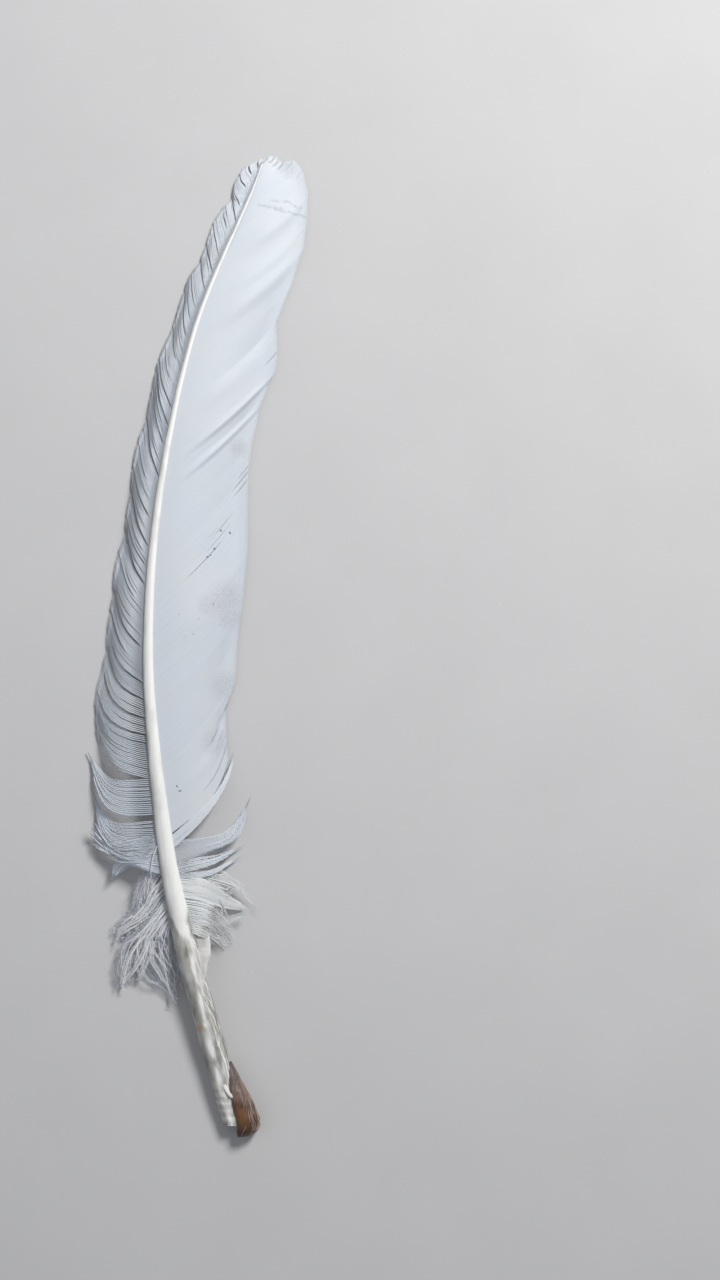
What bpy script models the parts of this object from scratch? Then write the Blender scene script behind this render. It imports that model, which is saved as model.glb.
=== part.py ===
"""An eagle's wing feather, 300 mm long, lying on a table with its hollow side down.

The quill, the shaft, both vanes with their locks and the down at the shaft's foot grow as one
piece. A scrap of dried skin still holds to the right side of the quill's end.

Every length is in millimetres until a mesh is made. X is across the feather, to the right, Y runs
from the quill to the tip, and Z is up from the table. The origin is on the table below the middle
of the box around the feather.
"""

import math

import bpy
import bmesh
from mathutils import Vector

MM = 0.001

# The shaft, from the quill's cut end to the feather's tip. Each station gives y, then x, width and
# height of the section, and how high its middle is above the table.
SHAFT = [
    (-146.5, 10.9, 6.0, 5.8, 2.7),
    (-138.0, 8.6, 6.5, 6.2, 3.1),
    (-126.0, 5.9, 7.6, 6.8, 3.9),
    (-110.0, 1.5, 7.5, 6.8, 5.0),
    (-96.0, -2.2, 7.3, 6.5, 6.0),
    (-81.0, -5.6, 6.5, 6.0, 7.0),
    (-65.5, -8.7, 5.5, 5.2, 7.9),
    (-47.5, -11.1, 4.7, 4.7, 8.8),
    (-29.0, -13.1, 4.0, 4.3, 9.5),
    (-10.5, -14.4, 3.4, 4.0, 9.9),
    (8.0, -14.4, 3.0, 3.6, 10.0),
    (26.0, -13.4, 2.7, 3.3, 9.8),
    (44.0, -11.4, 2.3, 3.0, 9.3),
    (62.5, -8.4, 2.0, 2.7, 8.5),
    (81.0, -4.6, 1.7, 2.4, 7.4),
    (99.0, 0.3, 1.5, 2.1, 6.0),
    (115.0, 6.4, 1.3, 1.9, 4.6),
    (130.0, 13.0, 1.1, 1.6, 3.0),
    (140.0, 17.2, 0.9, 1.4, 1.8),
    (147.0, 19.6, 0.7, 1.2, 1.1),
]
SHAFT_SIDES = 10
SHAFT_RINGS = 30
QUILL_TOP = -96.0  # up to here the section is a plain ellipse
SQUARED_OVER = 30.0  # the length over which it then takes its grooved and squarer shape
SQUARENESS = 0.12  # how far its corners then stand out from an ellipse
GROOVE = 0.10  # depth of the groove along the shaft's top, as a share of its height

# The vanes. Each row is a barb between two locks: y where it leaves the shaft, then x and y of
# its tip. Locks lie between one row and the next.
INNER_ROWS = [
    (-58.0, 9.3, -34.2),
    (-52.0, 8.8, -28.0),
    (-44.5, 8.5, -19.5),
    (-36.5, 11.4, -12.0),
    (-26.0, 12.3, 2.5),
    (-14.0, 14.0, 15.0),
    (-1.5, 15.3, 29.0),
    (12.0, 15.4, 44.0),
    (24.5, 15.6, 54.0),
    (35.0, 16.8, 62.0),
    (46.5, 19.6, 74.5),
    (54.5, 24.0, 84.5),
    (62.5, 24.4, 90.5),
    (70.0, 24.0, 98.5),
    (81.0, 29.0, 110.5),
    (93.0, 32.4, 121.5),
    (105.0, 33.5, 131.0),
    (118.0, 33.7, 139.0),
    (129.5, 32.0, 145.5),
    (135.5, 29.5, 148.5),
    (140.5, 26.0, 147.6),
    (144.5, 24.0, 149.5),
    (146.5, 22.0, 149.7),
]
OUTER_ROWS = [
    (-41.0, -30.7, -28.4),
    (-34.0, -31.3, -20.5),
    (-27.5, -31.0, -13.8),
    (-22.5, -29.2, -6.5),
    (-17.0, -27.7, -1.0),
    (-12.0, -27.6, 5.0),
    (-7.0, -26.8, 11.0),
    (-1.5, -25.6, 16.6),
    (4.0, -25.8, 21.5),
    (10.0, -24.4, 28.4),
    (17.0, -21.9, 34.4),
    (22.5, -22.0, 39.5),
    (28.0, -20.4, 47.4),
    (36.0, -20.0, 54.6),
    (43.5, -18.4, 62.6),
    (50.5, -15.6, 69.4),
    (59.5, -13.8, 79.6),
    (66.0, -12.6, 84.6),
    (71.0, -12.0, 87.6),
    (82.5, -7.6, 97.6),
    (91.5, -4.0, 109.2),
    (100.0, -2.2, 113.8),
    (107.0, 0.8, 117.6),
    (112.5, 2.6, 122.6),
    (117.5, 4.6, 129.2),
    (123.5, 7.6, 134.0),
    (128.5, 10.6, 136.8),
    (134.0, 11.2, 141.4),
    (139.0, 14.0, 146.2),
    (143.0, 17.4, 148.0),
    (146.0, 20.4, 149.2),
]
# The way the barbs run, in degrees from straight up the feather: y where a barb leaves the
# shaft, its direction there and its direction at the tip.
INNER_RUN = [
    (-58.0, 62, 4),
    (-47.0, 57, 12),
    (-36.0, 53, 36),
    (-17.0, 52, 28),
    (14.0, 49, 37),
    (44.0, 52, 42),
    (90.0, 50, 40),
    (110.0, 52, 38),
    (130.0, 46, 34),
    (147.0, 34, 22),
]
OUTER_RUN = [
    (-41.0, 94, 12),
    (-29.0, 90, 10),
    (-22.0, 84, 10),
    (-12.0, 62, 15),
    (8.0, 42, 15),
    (30.0, 28, 12),
    (60.0, 24, 8),
    (90.0, 26, 4),
    (120.0, 18, 10),
    (147.0, 8, 0),
]
INNER, OUTER = 1, -1  # the side of the shaft, as the sign of x

# Locks that stand apart from the vanes, and the down. Each has its name, its side, how high its
# tip lies, then y where its upper edge leaves the shaft with that edge's directions at the shaft
# and at the tip, the same for its lower edge, and the tip.
FREE_LOCKS = [
    ("horn_upper", OUTER, 0.0, (-40.5, 91, 32), (-51.5, 97, 14), (-33.7, -32.6)),
    ("horn_lower", OUTER, 0.0, (-53.0, 95, 20), (-67.5, 82, 8), (-31.9, -45.1)),
    ("frayed_edge", OUTER, 0.9, (-57.0, 96, 54), (-66.5, 84, 38), (-32.4, -57.0)),
    ("hooked_horn", OUTER, 0.6, (-65.5, 85, 156), (-69.5, 92, 144), (-25.8, -71.1)),
    ("edge_lock", INNER, 0.0, (-57.5, 47, 27), (-62.0, 54, 17), (11.2, -32.6)),
    ("long_horn", INNER, 0.0, (-59.5, 82, 28), (-67.5, 62, 10), (16.3, -46.1)),
    ("short_horn", INNER, 0.0, (-67.5, 72, 66), (-70.5, 74, 58), (14.2, -61.3)),
    ("wisp", INNER, 0.3, (-69.5, 84, 65), (-71.5, 86, 58), (13.3, -64.7)),
    ("web_strand", INNER, 0.0, (-68.5, 74, 135), (-72.5, 84, 128), (19.7, -80.5)),
    ("web", INNER, 0.4, (-69.5, 84, 122), (-80.0, 76, 108), (15.4, -80.5)),
    ("web_foot", INNER, 0.8, (-75.0, 92, 138), (-83.0, 100, 129), (13.0, -89.4)),
    ("strands", INNER, 0.2, (-79.0, 105, 130), (-88.0, 108, 118), (10.3, -92.4)),
    ("flap", INNER, 0.5, (-85.0, 118, 190), (-95.0, 140, 178), (4.0, -96.6)),
    ("down_shoulder", OUTER, 0.9, (-67.5, 112, 172), (-76.0, 140, 168), (-20.1, -84.0)),
    ("down_left", OUTER, 0.5, (-72.0, 118, 126), (-84.0, 145, 106), (-26.1, -88.5)),
    ("down_outer", OUTER, 0.0, (-75.0, 116, 176), (-86.0, 150, 150), (-24.6, -94.0)),
    ("down_corner", OUTER, 0.7, (-78.0, 122, 176), (-89.0, 160, 140), (-23.2, -105.6)),
    ("down_middle", OUTER, 0.2, (-80.0, 128, 180), (-90.0, 165, 150), (-17.5, -103.4)),
    ("down_point", OUTER, 1.0, (-82.0, 132, 208), (-92.0, 175, 170), (-8.1, -112.3)),
    ("down_fork", OUTER, 0.4, (-85.0, 150, 212), (-93.0, 175, 190), (-6.4, -109.6)),
    ("down_foot", OUTER, 0.8, (-87.0, 160, 196), (-94.0, 180, 190), (-5.4, -102.4)),
]

LOCK_THICKNESS = 0.8
LOCK_STEP = {INNER: 0.35, OUTER: 0.5}  # how far a lock's lower edge stands above the lock below
LOCK_SHARES = [0, 0.15, 0.3, 0.45, 0.6, 0.76, 0.92, 1]  # the shares of a barb's length in use
NOTCH = 0.6  # how far neighbouring locks part at their tips
PARTED_FROM = 6  # the entry of LOCK_SHARES where they begin to part
FREE_LOCK_SEGMENTS = 6
TIP_HALF_WIDTH = 0.35  # of a free lock's blunt tip
CROWN = 0.3  # how much higher a free lock is along its middle
CROWNED_WIDTH = 4.0  # a narrower lock has less of that height
ROOT_INSET = 0.22  # where barbs start, from the shaft's middle, as a share of its width
ROOT_HEIGHT = 0.08  # above the shaft's middle, as a share of its height
REACH = 1.35  # how strongly a barb keeps its directions
FREE_REACH = 1.8  # the same for the edges of the locks that stand apart
FLAT_FROM = 0.9  # the share of a barb's length after which it lies on the table
FALL = 1.7  # how long a barb stays high before it falls to the table

# Soft folds across the inner vane: y where the fold leaves the shaft, its half width and height.
FOLDS = [(57.0, 4.0, 1.3), (49.5, 3.0, 1.0), (92.0, 6.0, 0.8), (116.0, 5.0, 0.6)]

# The skin, from its thin upper end to its rounded lower end: y, the thickness of the skin, and
# the angles around the quill's middle between which it lies, from the right side upwards.
SKIN = [
    (-127.0, 0.4, -10, 20),
    (-132.5, 2.2, -45, 48),
    (-138.0, 4.2, -58, 60),
    (-143.0, 5.2, -60, 62),
    (-146.5, 5.2, -60, 62),
    (-148.8, 4.8, -60, 62),
    (-150.0, 3.4, -50, 50),
]
SKIN_GAP = 0.35
SKIN_STEPS = 8

FEATHER_COLOUR = (0.80, 0.83, 0.87, 1.0)
SKIN_COLOUR = (0.27, 0.15, 0.11, 1.0)


def clear_scene():
    for ob in list(bpy.data.objects):
        bpy.data.objects.remove(ob, do_unlink=True)


def keyed(table, y, column):
    """The value in a column of a table at y, between the two stations around it."""
    rows = sorted(table)
    if y <= rows[0][0]:
        return rows[0][column]
    for low, high in zip(rows, rows[1:]):
        if y <= high[0]:
            share = (y - low[0]) / (high[0] - low[0])
            return low[column] + share * (high[column] - low[column])
    return rows[-1][column]


def shaft_at(y):
    """x, width, height and middle height of the shaft at y."""
    return tuple(keyed(SHAFT, y, column) for column in (1, 2, 3, 4))


def heading(side, degrees):
    angle = math.radians(degrees)
    return Vector((side * math.sin(angle), math.cos(angle)))


def curve_point(start, end, start_way, end_way, t, reach=REACH):
    """A point of the curve that leaves start along start_way and reaches end along end_way."""
    pull = reach * (end - start).length
    u = 1 - t
    first, last = start + start_way * pull / 3, end - end_way * pull / 3
    return start * u**3 + first * 3 * u * u * t + last * 3 * u * t * t + end * t**3


def barb_root(side, y):
    x, width, height, middle = shaft_at(y)
    return Vector((x + side * ROOT_INSET * width, y)), middle + ROOT_HEIGHT * height


def vane_barb(side, y, t):
    """x and y of the vane's surface at share t along the barb that leaves the shaft at y."""
    rows, run = (INNER_ROWS, INNER_RUN) if side == INNER else (OUTER_ROWS, OUTER_RUN)
    root, _ = barb_root(side, y)
    tip = Vector((keyed(rows, y, 1), keyed(rows, y, 2)))
    ways = [heading(side, keyed(run, y, column)) for column in (1, 2)]
    return curve_point(root, tip, *ways, t)


def fold(side, y, t):
    """The height of the soft folds of the inner vane."""
    if side == OUTER:
        return 0.0
    rise = sum(h * math.exp(-(((y - at) / width) ** 2)) for at, width, h in FOLDS)
    return rise * math.sin(math.pi * min(1, t / FLAT_FROM)) ** 2


def barb_height(side, y, t):
    """The height of a vane's upper surface, which falls from the shaft to the table."""
    _, root = barb_root(side, y)
    far = min(1, t / FLAT_FROM)
    return LOCK_THICKNESS + (root - LOCK_THICKNESS / 2) * (1 - far**FALL) + fold(side, y, t)


def new_solid(name, bm):
    """The object of a closed mesh that was drawn in millimetres."""
    bmesh.ops.scale(bm, vec=(MM, MM, MM), verts=bm.verts)
    bmesh.ops.triangulate(bm, faces=bm.faces)
    bmesh.ops.recalc_face_normals(bm, faces=bm.faces)
    mesh = bpy.data.meshes.new(name)
    bm.to_mesh(mesh)
    bm.free()
    return bpy.data.objects.new(name, mesh)


def loft(name, rings):
    """A closed solid through rings of the same number of points, with flat ends."""
    bm = bmesh.new()
    loops = [[bm.verts.new(p) for p in ring] for ring in rings]
    for a, b in zip(loops, loops[1:]):
        for k in range(len(a)):
            n = (k + 1) % len(a)
            bm.faces.new((a[k], a[n], b[n], b[k]))
    bm.faces.new(loops[0])
    bm.faces.new(loops[-1])
    return new_solid(name, bm)


def vane_edge(side, y, lift, shift):
    """The points of one edge of a lock, which follows the barb at y: above and below. The tip is
    moved by shift along the feather's outline."""
    rows = INNER_ROWS if side == INNER else OUTER_ROWS
    above, below = [], []
    for t in LOCK_SHARES:
        x, z = vane_barb(side, y, t), barb_height(side, y, t)
        if t == 1:
            along = Vector((keyed(rows, y + 2, 1), keyed(rows, y + 2, 2)))
            along -= Vector((keyed(rows, y - 2, 1), keyed(rows, y - 2, 2)))
            x += along.normalized() * shift
        above.append((x.x, x.y, z + lift))
        below.append((x.x, x.y, max(0, z - LOCK_THICKNESS)))
    return above, below


def make_vane(side, rows):
    """One vane: a plate of locks, where each lock's lower edge stands above the lock below it,
    and the tips part from one another."""
    bm = bmesh.new()

    def new_edge(y, lift, shift):
        return [[bm.verts.new(p) for p in line] for line in vane_edge(side, y, lift, shift)]

    last = len(LOCK_SHARES) - 1
    lows = [new_edge(row[0], LOCK_STEP[side], NOTCH / 2) for row in rows[:-1]]
    highs = [new_edge(row[0], 0, -NOTCH / 2) for row in rows[1:]]
    for high, low in zip(highs, lows[1:]):
        for k in range(PARTED_FROM + 1):
            bm.verts.remove(high[1][k])
            high[1][k] = low[1][k]

    for (low_up, low_down), (high_up, high_down) in zip(lows, highs):
        for k in range(last):
            bm.faces.new((low_up[k], low_up[k + 1], high_up[k + 1], high_up[k]))
            bm.faces.new((low_down[k], high_down[k], high_down[k + 1], low_down[k + 1]))
        bm.faces.new((low_up[last], low_down[last], high_down[last], high_up[last]))
        bm.faces.new((low_up[0], high_up[0], high_down[0], low_down[0]))

    for line in (lows[0], highs[-1]):
        for k in range(last):
            bm.faces.new((line[0][k], line[1][k], line[1][k + 1], line[0][k + 1]))

    for (high_up, high_down), (low_up, low_down) in zip(highs, lows[1:]):
        p = PARTED_FROM
        for k in range(p):
            bm.faces.new((high_up[k], high_up[k + 1], low_up[k + 1], low_up[k]))
        bm.faces.new((high_up[p], high_down[p], high_down[p + 1], high_up[p + 1]))
        bm.faces.new((low_up[p], high_up[p], low_down[p], low_down[p + 1], low_up[p + 1]))
        for k in range(p + 1, last):
            bm.faces.new((high_up[k], high_down[k], high_down[k + 1], high_up[k + 1]))
            bm.faces.new((low_up[k], low_down[k], low_down[k + 1], low_up[k + 1]))
        bm.faces.new((high_up[0], low_up[0], low_down[0]))
    return new_solid("inner_vane" if side == INNER else "outer_vane", bm)


def free_lock(name, side, tip_lift, upper, lower, tip):
    """A lock whose two edges meet at one blunt tip, as a loft of flat crowned sections."""
    y = (lower[0] + upper[0]) / 2
    tip = Vector(tip)
    rings = []
    for k in range(FREE_LOCK_SEGMENTS + 1):
        t = k / FREE_LOCK_SEGMENTS
        edges = []
        for leaves_at, leave, arrive in (lower, upper):
            root, _ = barb_root(side, leaves_at)
            ways = heading(side, leave), heading(side, arrive)
            edges.append(curve_point(root, tip, *ways, t, FREE_REACH))
        if k == FREE_LOCK_SEGMENTS:
            across = heading(side, (lower[2] + upper[2]) / 2 - 90) * TIP_HALF_WIDTH
            edges = [tip - across, tip + across]
        low, high = edges
        ridge = (low + high) / 2
        top = barb_height(side, y, t) + tip_lift * t
        under = max(0, top - LOCK_THICKNESS)
        crown = CROWN * min(1, (high - low).length / CROWNED_WIDTH)
        above = [(low.x, low.y, top), (ridge.x, ridge.y, top + crown), (high.x, high.y, top)]
        rings.append(above + [(high.x, high.y, under), (low.x, low.y, under)])
    return loft(name, rings)


def shaft_ring(y):
    """A ring of the shaft's section at y, with a flat seat where it meets the table."""
    x, width, height, middle = shaft_at(y)
    shaped = min(1, max(0, (y - QUILL_TOP) / SQUARED_OVER))
    ring = []
    for k in range(SHAFT_SIDES):
        angle = 2 * math.pi * (k + 0.5) / SHAFT_SIDES
        corner = 1 + shaped * SQUARENESS * math.sin(2 * angle) ** 2
        z = middle + math.sin(angle) * corner * height / 2
        if k == SHAFT_SIDES // 4:
            z -= shaped * GROOVE * height
        ring.append((x + math.cos(angle) * corner * width / 2, y, max(0, z)))
    return ring


def make_shaft():
    low, high = SHAFT[0][0], SHAFT[-1][0]
    step = (high - low) / SHAFT_RINGS
    return loft("feather", [shaft_ring(low + step * i) for i in range(SHAFT_RINGS + 1)])


def skin_ring(y, thickness, start, stop):
    """A crescent around the right side of the quill, with its inner edge held off the quill."""
    x, width, height, middle = shaft_at(y)
    if y < SHAFT[0][0]:
        closing = (SHAFT[0][0] - y) / (SHAFT[0][0] - SKIN[-1][0])
        width, height = width * (1 - 0.4 * closing), height * (1 - 0.4 * closing)
    ring = []
    for outer in (True, False):
        steps = range(SKIN_STEPS + 1) if outer else range(SKIN_STEPS, -1, -1)
        for k in steps:
            share = k / SKIN_STEPS
            angle = math.radians(start + (stop - start) * share)
            off = SKIN_GAP + (thickness * (0.25 + 0.75 * math.sin(math.pi * share)) if outer else 0)
            z = middle + math.sin(angle) * (height / 2 + off)
            ring.append((x + math.cos(angle) * (width / 2 + off), y, max(0, z)))
    return ring


def make_skin():
    return loft("dried_skin", [skin_ring(*station) for station in SKIN])


def make_material(name, colour, roughness):
    material = bpy.data.materials.new(name)
    material.use_nodes = True
    shader = material.node_tree.nodes["Principled BSDF"]
    shader.inputs["Base Color"].default_value = colour
    shader.inputs["Roughness"].default_value = roughness
    material.diffuse_color = colour
    return material


def make_collections():
    found = []
    for name in ("eagle_feather", "vane_forms"):
        collection = bpy.data.collections.new(name)
        bpy.context.scene.collection.children.link(collection)
        found.append(collection)
    return found


def main():
    clear_scene()
    parts, forms = make_collections()

    grown = [make_vane(INNER, INNER_ROWS), make_vane(OUTER, OUTER_ROWS)]
    grown += [free_lock(*spec) for spec in FREE_LOCKS]
    for form in grown:
        forms.objects.link(form)
        form.hide_render = True
        form.display_type = "WIRE"

    feather, skin = make_shaft(), make_skin()
    feather.data.materials.append(make_material("feather_white", FEATHER_COLOUR, 0.6))
    skin.data.materials.append(make_material("skin_brown", SKIN_COLOUR, 0.5))
    parts.objects.link(feather)
    parts.objects.link(skin)

    union = feather.modifiers.new("grown_together", "BOOLEAN")
    union.operation = "UNION"
    union.solver = "EXACT"
    union.operand_type = "COLLECTION"
    union.collection = forms


main()
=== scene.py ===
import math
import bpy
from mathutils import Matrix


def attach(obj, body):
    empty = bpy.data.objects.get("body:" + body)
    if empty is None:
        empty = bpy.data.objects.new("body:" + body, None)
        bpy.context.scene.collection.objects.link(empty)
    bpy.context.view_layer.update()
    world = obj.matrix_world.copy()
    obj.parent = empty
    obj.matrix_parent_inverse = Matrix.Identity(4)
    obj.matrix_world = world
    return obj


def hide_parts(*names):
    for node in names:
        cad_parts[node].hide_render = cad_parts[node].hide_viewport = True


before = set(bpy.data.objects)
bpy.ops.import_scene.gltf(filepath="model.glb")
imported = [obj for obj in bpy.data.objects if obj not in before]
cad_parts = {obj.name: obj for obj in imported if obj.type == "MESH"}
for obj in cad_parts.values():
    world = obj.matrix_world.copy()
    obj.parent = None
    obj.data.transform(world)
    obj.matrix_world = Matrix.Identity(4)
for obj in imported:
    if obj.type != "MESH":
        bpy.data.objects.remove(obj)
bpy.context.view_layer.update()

# An eagle's wing feather, 300 mm long, that lies on a pale table with its hollow side down.
# Its barbs, its down and the fibres of the dried skin are thin closed strips.
# Lengths are in millimetres until a mesh is made. X is across the feather, Y runs from the quill
# to the tip and Z is up from the table.

from types import SimpleNamespace

import bpy
import numpy as np
from mathutils import Vector, noise

MM = 0.001
SEED = 11

# The shaft, from the quill's cut end to the feather's tip: y, then x, width and height of the
# section, and how high its middle is above the table.
SHAFT = [
    (-146.5, 10.9, 6.0, 5.8, 2.7),
    (-138.0, 8.6, 6.5, 6.2, 3.1),
    (-126.0, 5.9, 7.6, 6.8, 3.9),
    (-110.0, 1.5, 7.5, 6.8, 5.0),
    (-96.0, -2.2, 7.3, 6.5, 6.0),
    (-81.0, -5.6, 6.5, 6.0, 7.0),
    (-65.5, -8.7, 5.5, 5.2, 7.9),
    (-47.5, -11.1, 4.7, 4.7, 8.8),
    (-29.0, -13.1, 4.0, 4.3, 9.5),
    (-10.5, -14.4, 3.4, 4.0, 9.9),
    (8.0, -14.4, 3.0, 3.6, 10.0),
    (26.0, -13.4, 2.7, 3.3, 9.8),
    (44.0, -11.4, 2.3, 3.0, 9.3),
    (62.5, -8.4, 2.0, 2.7, 8.5),
    (81.0, -4.6, 1.7, 2.4, 7.4),
    (99.0, 0.3, 1.5, 2.1, 6.0),
    (115.0, 6.4, 1.3, 1.9, 4.6),
    (130.0, 13.0, 1.1, 1.6, 3.0),
    (140.0, 17.2, 0.9, 1.4, 1.8),
    (147.0, 19.6, 0.7, 1.2, 1.1),
]
QUILL_TOP = -96.0  # up to here the section is a plain ellipse
SQUARED_OVER = 30.0  # the length over which it then takes its grooved and squarer shape

# The rows between the locks of each vane: y where the barb leaves the shaft, then x and y of its
# tip.
INNER_ROWS = [
    (-58.0, 9.3, -34.2),
    (-52.0, 8.8, -28.0),
    (-44.5, 8.5, -19.5),
    (-36.5, 11.4, -12.0),
    (-26.0, 12.3, 2.5),
    (-14.0, 14.0, 15.0),
    (-1.5, 15.3, 29.0),
    (12.0, 15.4, 44.0),
    (24.5, 15.6, 54.0),
    (35.0, 16.8, 62.0),
    (46.5, 19.6, 74.5),
    (54.5, 24.0, 84.5),
    (62.5, 24.4, 90.5),
    (70.0, 24.0, 98.5),
    (81.0, 29.0, 110.5),
    (93.0, 32.4, 121.5),
    (105.0, 33.5, 131.0),
    (118.0, 33.7, 139.0),
    (129.5, 32.0, 145.5),
    (135.5, 29.5, 148.5),
    (140.5, 26.0, 147.6),
    (144.5, 24.0, 149.5),
    (146.5, 22.0, 149.7),
]
OUTER_ROWS = [
    (-41.0, -30.7, -28.4),
    (-34.0, -31.3, -20.5),
    (-27.5, -31.0, -13.8),
    (-22.5, -29.2, -6.5),
    (-17.0, -27.7, -1.0),
    (-12.0, -27.6, 5.0),
    (-7.0, -26.8, 11.0),
    (-1.5, -25.6, 16.6),
    (4.0, -25.8, 21.5),
    (10.0, -24.4, 28.4),
    (17.0, -21.9, 34.4),
    (22.5, -22.0, 39.5),
    (28.0, -20.4, 47.4),
    (36.0, -20.0, 54.6),
    (43.5, -18.4, 62.6),
    (50.5, -15.6, 69.4),
    (59.5, -13.8, 79.6),
    (66.0, -12.6, 84.6),
    (71.0, -12.0, 87.6),
    (82.5, -7.6, 97.6),
    (91.5, -4.0, 109.2),
    (100.0, -2.2, 113.8),
    (107.0, 0.8, 117.6),
    (112.5, 2.6, 122.6),
    (117.5, 4.6, 129.2),
    (123.5, 7.6, 134.0),
    (128.5, 10.6, 136.8),
    (134.0, 11.2, 141.4),
    (139.0, 14.0, 146.2),
    (143.0, 17.4, 148.0),
    (146.0, 20.4, 149.2),
]
# The way the barbs run, in degrees from straight up the feather: y where a barb leaves the
# shaft, its direction there and its direction at the tip.
INNER_RUN = [
    (-58.0, 52, 12),
    (-52.0, 53, 13),
    (-47.0, 54, 14),
    (-36.0, 53, 36),
    (-17.0, 52, 28),
    (14.0, 49, 37),
    (44.0, 52, 42),
    (90.0, 50, 40),
    (110.0, 52, 38),
    (130.0, 46, 34),
    (147.0, 34, 22),
]
OUTER_RUN = [
    (-41.0, 80, 20),
    (-29.0, 86, 12),
    (-22.0, 82, 10),
    (-12.0, 62, 15),
    (8.0, 42, 15),
    (30.0, 28, 12),
    (60.0, 24, 8),
    (90.0, 26, 4),
    (120.0, 18, 10),
    (147.0, 8, 0),
]
INNER, OUTER = 1, -1  # the side of the shaft, as the sign of x

# Slits between the barbs: y at the shaft, how wide the slit is, and the shares of the barbs'
# length between which it is open.
INNER_SLITS = [
    (-53.5, 0.22, 0.45, 1.2),
    (-50.0, 0.14, 0.55, 1.2),
    (-47.2, 0.16, 0.66, 0.94),
    (-44.5, 0.26, 0.64, 0.84),
    (-41.5, 0.12, 0.72, 0.96),
    (10.5, 0.24, 0.28, 0.72),
    (12.6, 0.20, 0.52, 0.82),
    (13.8, 0.14, 0.42, 0.62),
    (15.0, 0.20, 0.60, 0.84),
    (16.6, 0.16, 0.50, 0.72),
    (21.0, 0.50, 0.90, 1.2),
    (23.5, 0.60, 0.88, 1.2),
    (26.0, 0.45, 0.91, 1.2),
    (61.5, 0.40, 0.92, 1.2),
    (129.0, 0.30, 0.90, 1.2),
    (136.0, 0.40, 0.86, 1.2),
    (140.5, 0.60, 0.80, 1.2),
    (143.0, 0.40, 0.70, 1.2),
    (145.0, 0.40, 0.60, 1.2),
]
OUTER_SLITS = [
    (-38.0, 0.25, 0.00, 0.5),
    (-34.0, 0.30, 0.30, 1.2),
    (-30.0, 0.40, 0.00, 0.6),
    (-27.5, 0.65, 0.00, 0.9),
    (-25.0, 0.30, 0.00, 0.5),
    (-22.5, 0.75, 0.00, 0.9),
    (-19.8, 0.25, 0.00, 0.4),
    (-17.0, 0.70, 0.05, 1.2),
    (-12.0, 0.60, 0.00, 0.75),
    (-9.5, 0.25, 0.00, 0.5),
    (-7.0, 0.30, 0.40, 1.2),
    (-1.5, 0.75, 0.10, 1.2),
    (1.5, 0.25, 0.05, 0.6),
    (4.0, 0.30, 0.30, 1.2),
    (7.0, 0.25, 0.10, 0.7),
    (10.0, 0.35, 0.30, 1.2),
    (17.0, 0.80, 0.10, 1.2),
    (19.5, 0.30, 0.10, 0.8),
    (22.5, 0.45, 0.10, 1.2),
    (25.0, 0.30, 0.20, 0.9),
    (28.0, 0.75, 0.10, 1.2),
    (31.0, 0.30, 0.20, 0.9),
    (36.0, 0.60, 0.15, 1.2),
    (40.0, 0.30, 0.20, 0.9),
    (43.5, 0.35, 0.40, 1.2),
    (50.5, 0.75, 0.05, 1.2),
    (55.0, 0.30, 0.20, 0.8),
    (59.5, 0.70, 0.10, 1.2),
    (63.0, 0.35, 0.20, 0.9),
    (66.0, 0.65, 0.05, 1.2),
    (71.0, 0.60, 0.05, 1.2),
    (76.0, 0.30, 0.30, 1.0),
    (82.5, 0.35, 0.30, 1.2),
    (87.0, 0.30, 0.10, 0.8),
    (91.5, 0.65, 0.15, 1.2),
    (96.0, 0.35, 0.20, 1.0),
    (100.0, 0.30, 0.20, 1.2),
    (107.0, 0.36, 0.10, 1.2),
    (112.5, 0.36, 0.10, 1.2),
    (117.5, 0.34, 0.10, 1.0),
    (123.5, 0.20, 0.30, 0.9),
    (128.5, 0.50, 0.10, 1.2),
    (132.0, 0.30, 0.30, 1.2),
    (137.0, 0.35, 0.40, 1.2),
    (141.0, 0.45, 0.50, 1.2),
    (144.0, 0.45, 0.40, 1.2),
]

# Locks that stand apart from the vanes, by the piece that they belong to. Each has its name, its
# side, how high its tip lies, then y where its upper edge leaves the shaft with that edge's
# directions at the shaft and at the tip, the same for its lower edge, and the tip.
APART_LOCKS = {
    "outer_locks": [
        ("horn_upper", OUTER, 0.0, (-40.5, 91, 32), (-51.5, 97, 14), (-33.7, -32.6)),
        ("horn_lower", OUTER, 0.0, (-53.0, 95, 20), (-67.5, 82, 8), (-31.9, -45.1)),
        ("frayed_upper", OUTER, 3.0, (-57.5, 96, 40), (-62.0, 90, 50), (-33.0, -55.2)),
        ("frayed_lower", OUTER, 2.6, (-60.0, 92, 60), (-66.5, 84, 52), (-31.5, -59.4)),
        ("hooked_horn", OUTER, 3.2, (-65.0, 88, 168), (-69.8, 84, 146), (-26.0, -71.6)),
    ],
    "inner_locks": [
        ("edge_lock", INNER, 0.3, (-58.5, 50, 9), (-62.4, 50, 6), (11.1, -32.6)),
        ("long_horn", INNER, 0.0, (-59.5, 82, 28), (-67.5, 62, 10), (16.3, -46.1)),
        ("short_horn", INNER, 0.2, (-66.5, 72, 66), (-70.0, 74, 58), (14.2, -61.3)),
        ("wisp", INNER, 0.5, (-69.5, 84, 65), (-71.0, 86, 58), (13.3, -64.7)),
    ],
    "web": [
        ("web", INNER, 0.8, (-69.8, 90, 118), (-76.6, 96, 94), (15.6, -80.8)),
        ("web_foot", INNER, 1.0, (-76.5, 94, 137), (-84.0, 104, 140), (11.8, -90.4)),
        ("strands", INNER, 0.4, (-80.0, 104, 140), (-87.0, 112, 130), (8.6, -92.2)),
    ],
}
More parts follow.
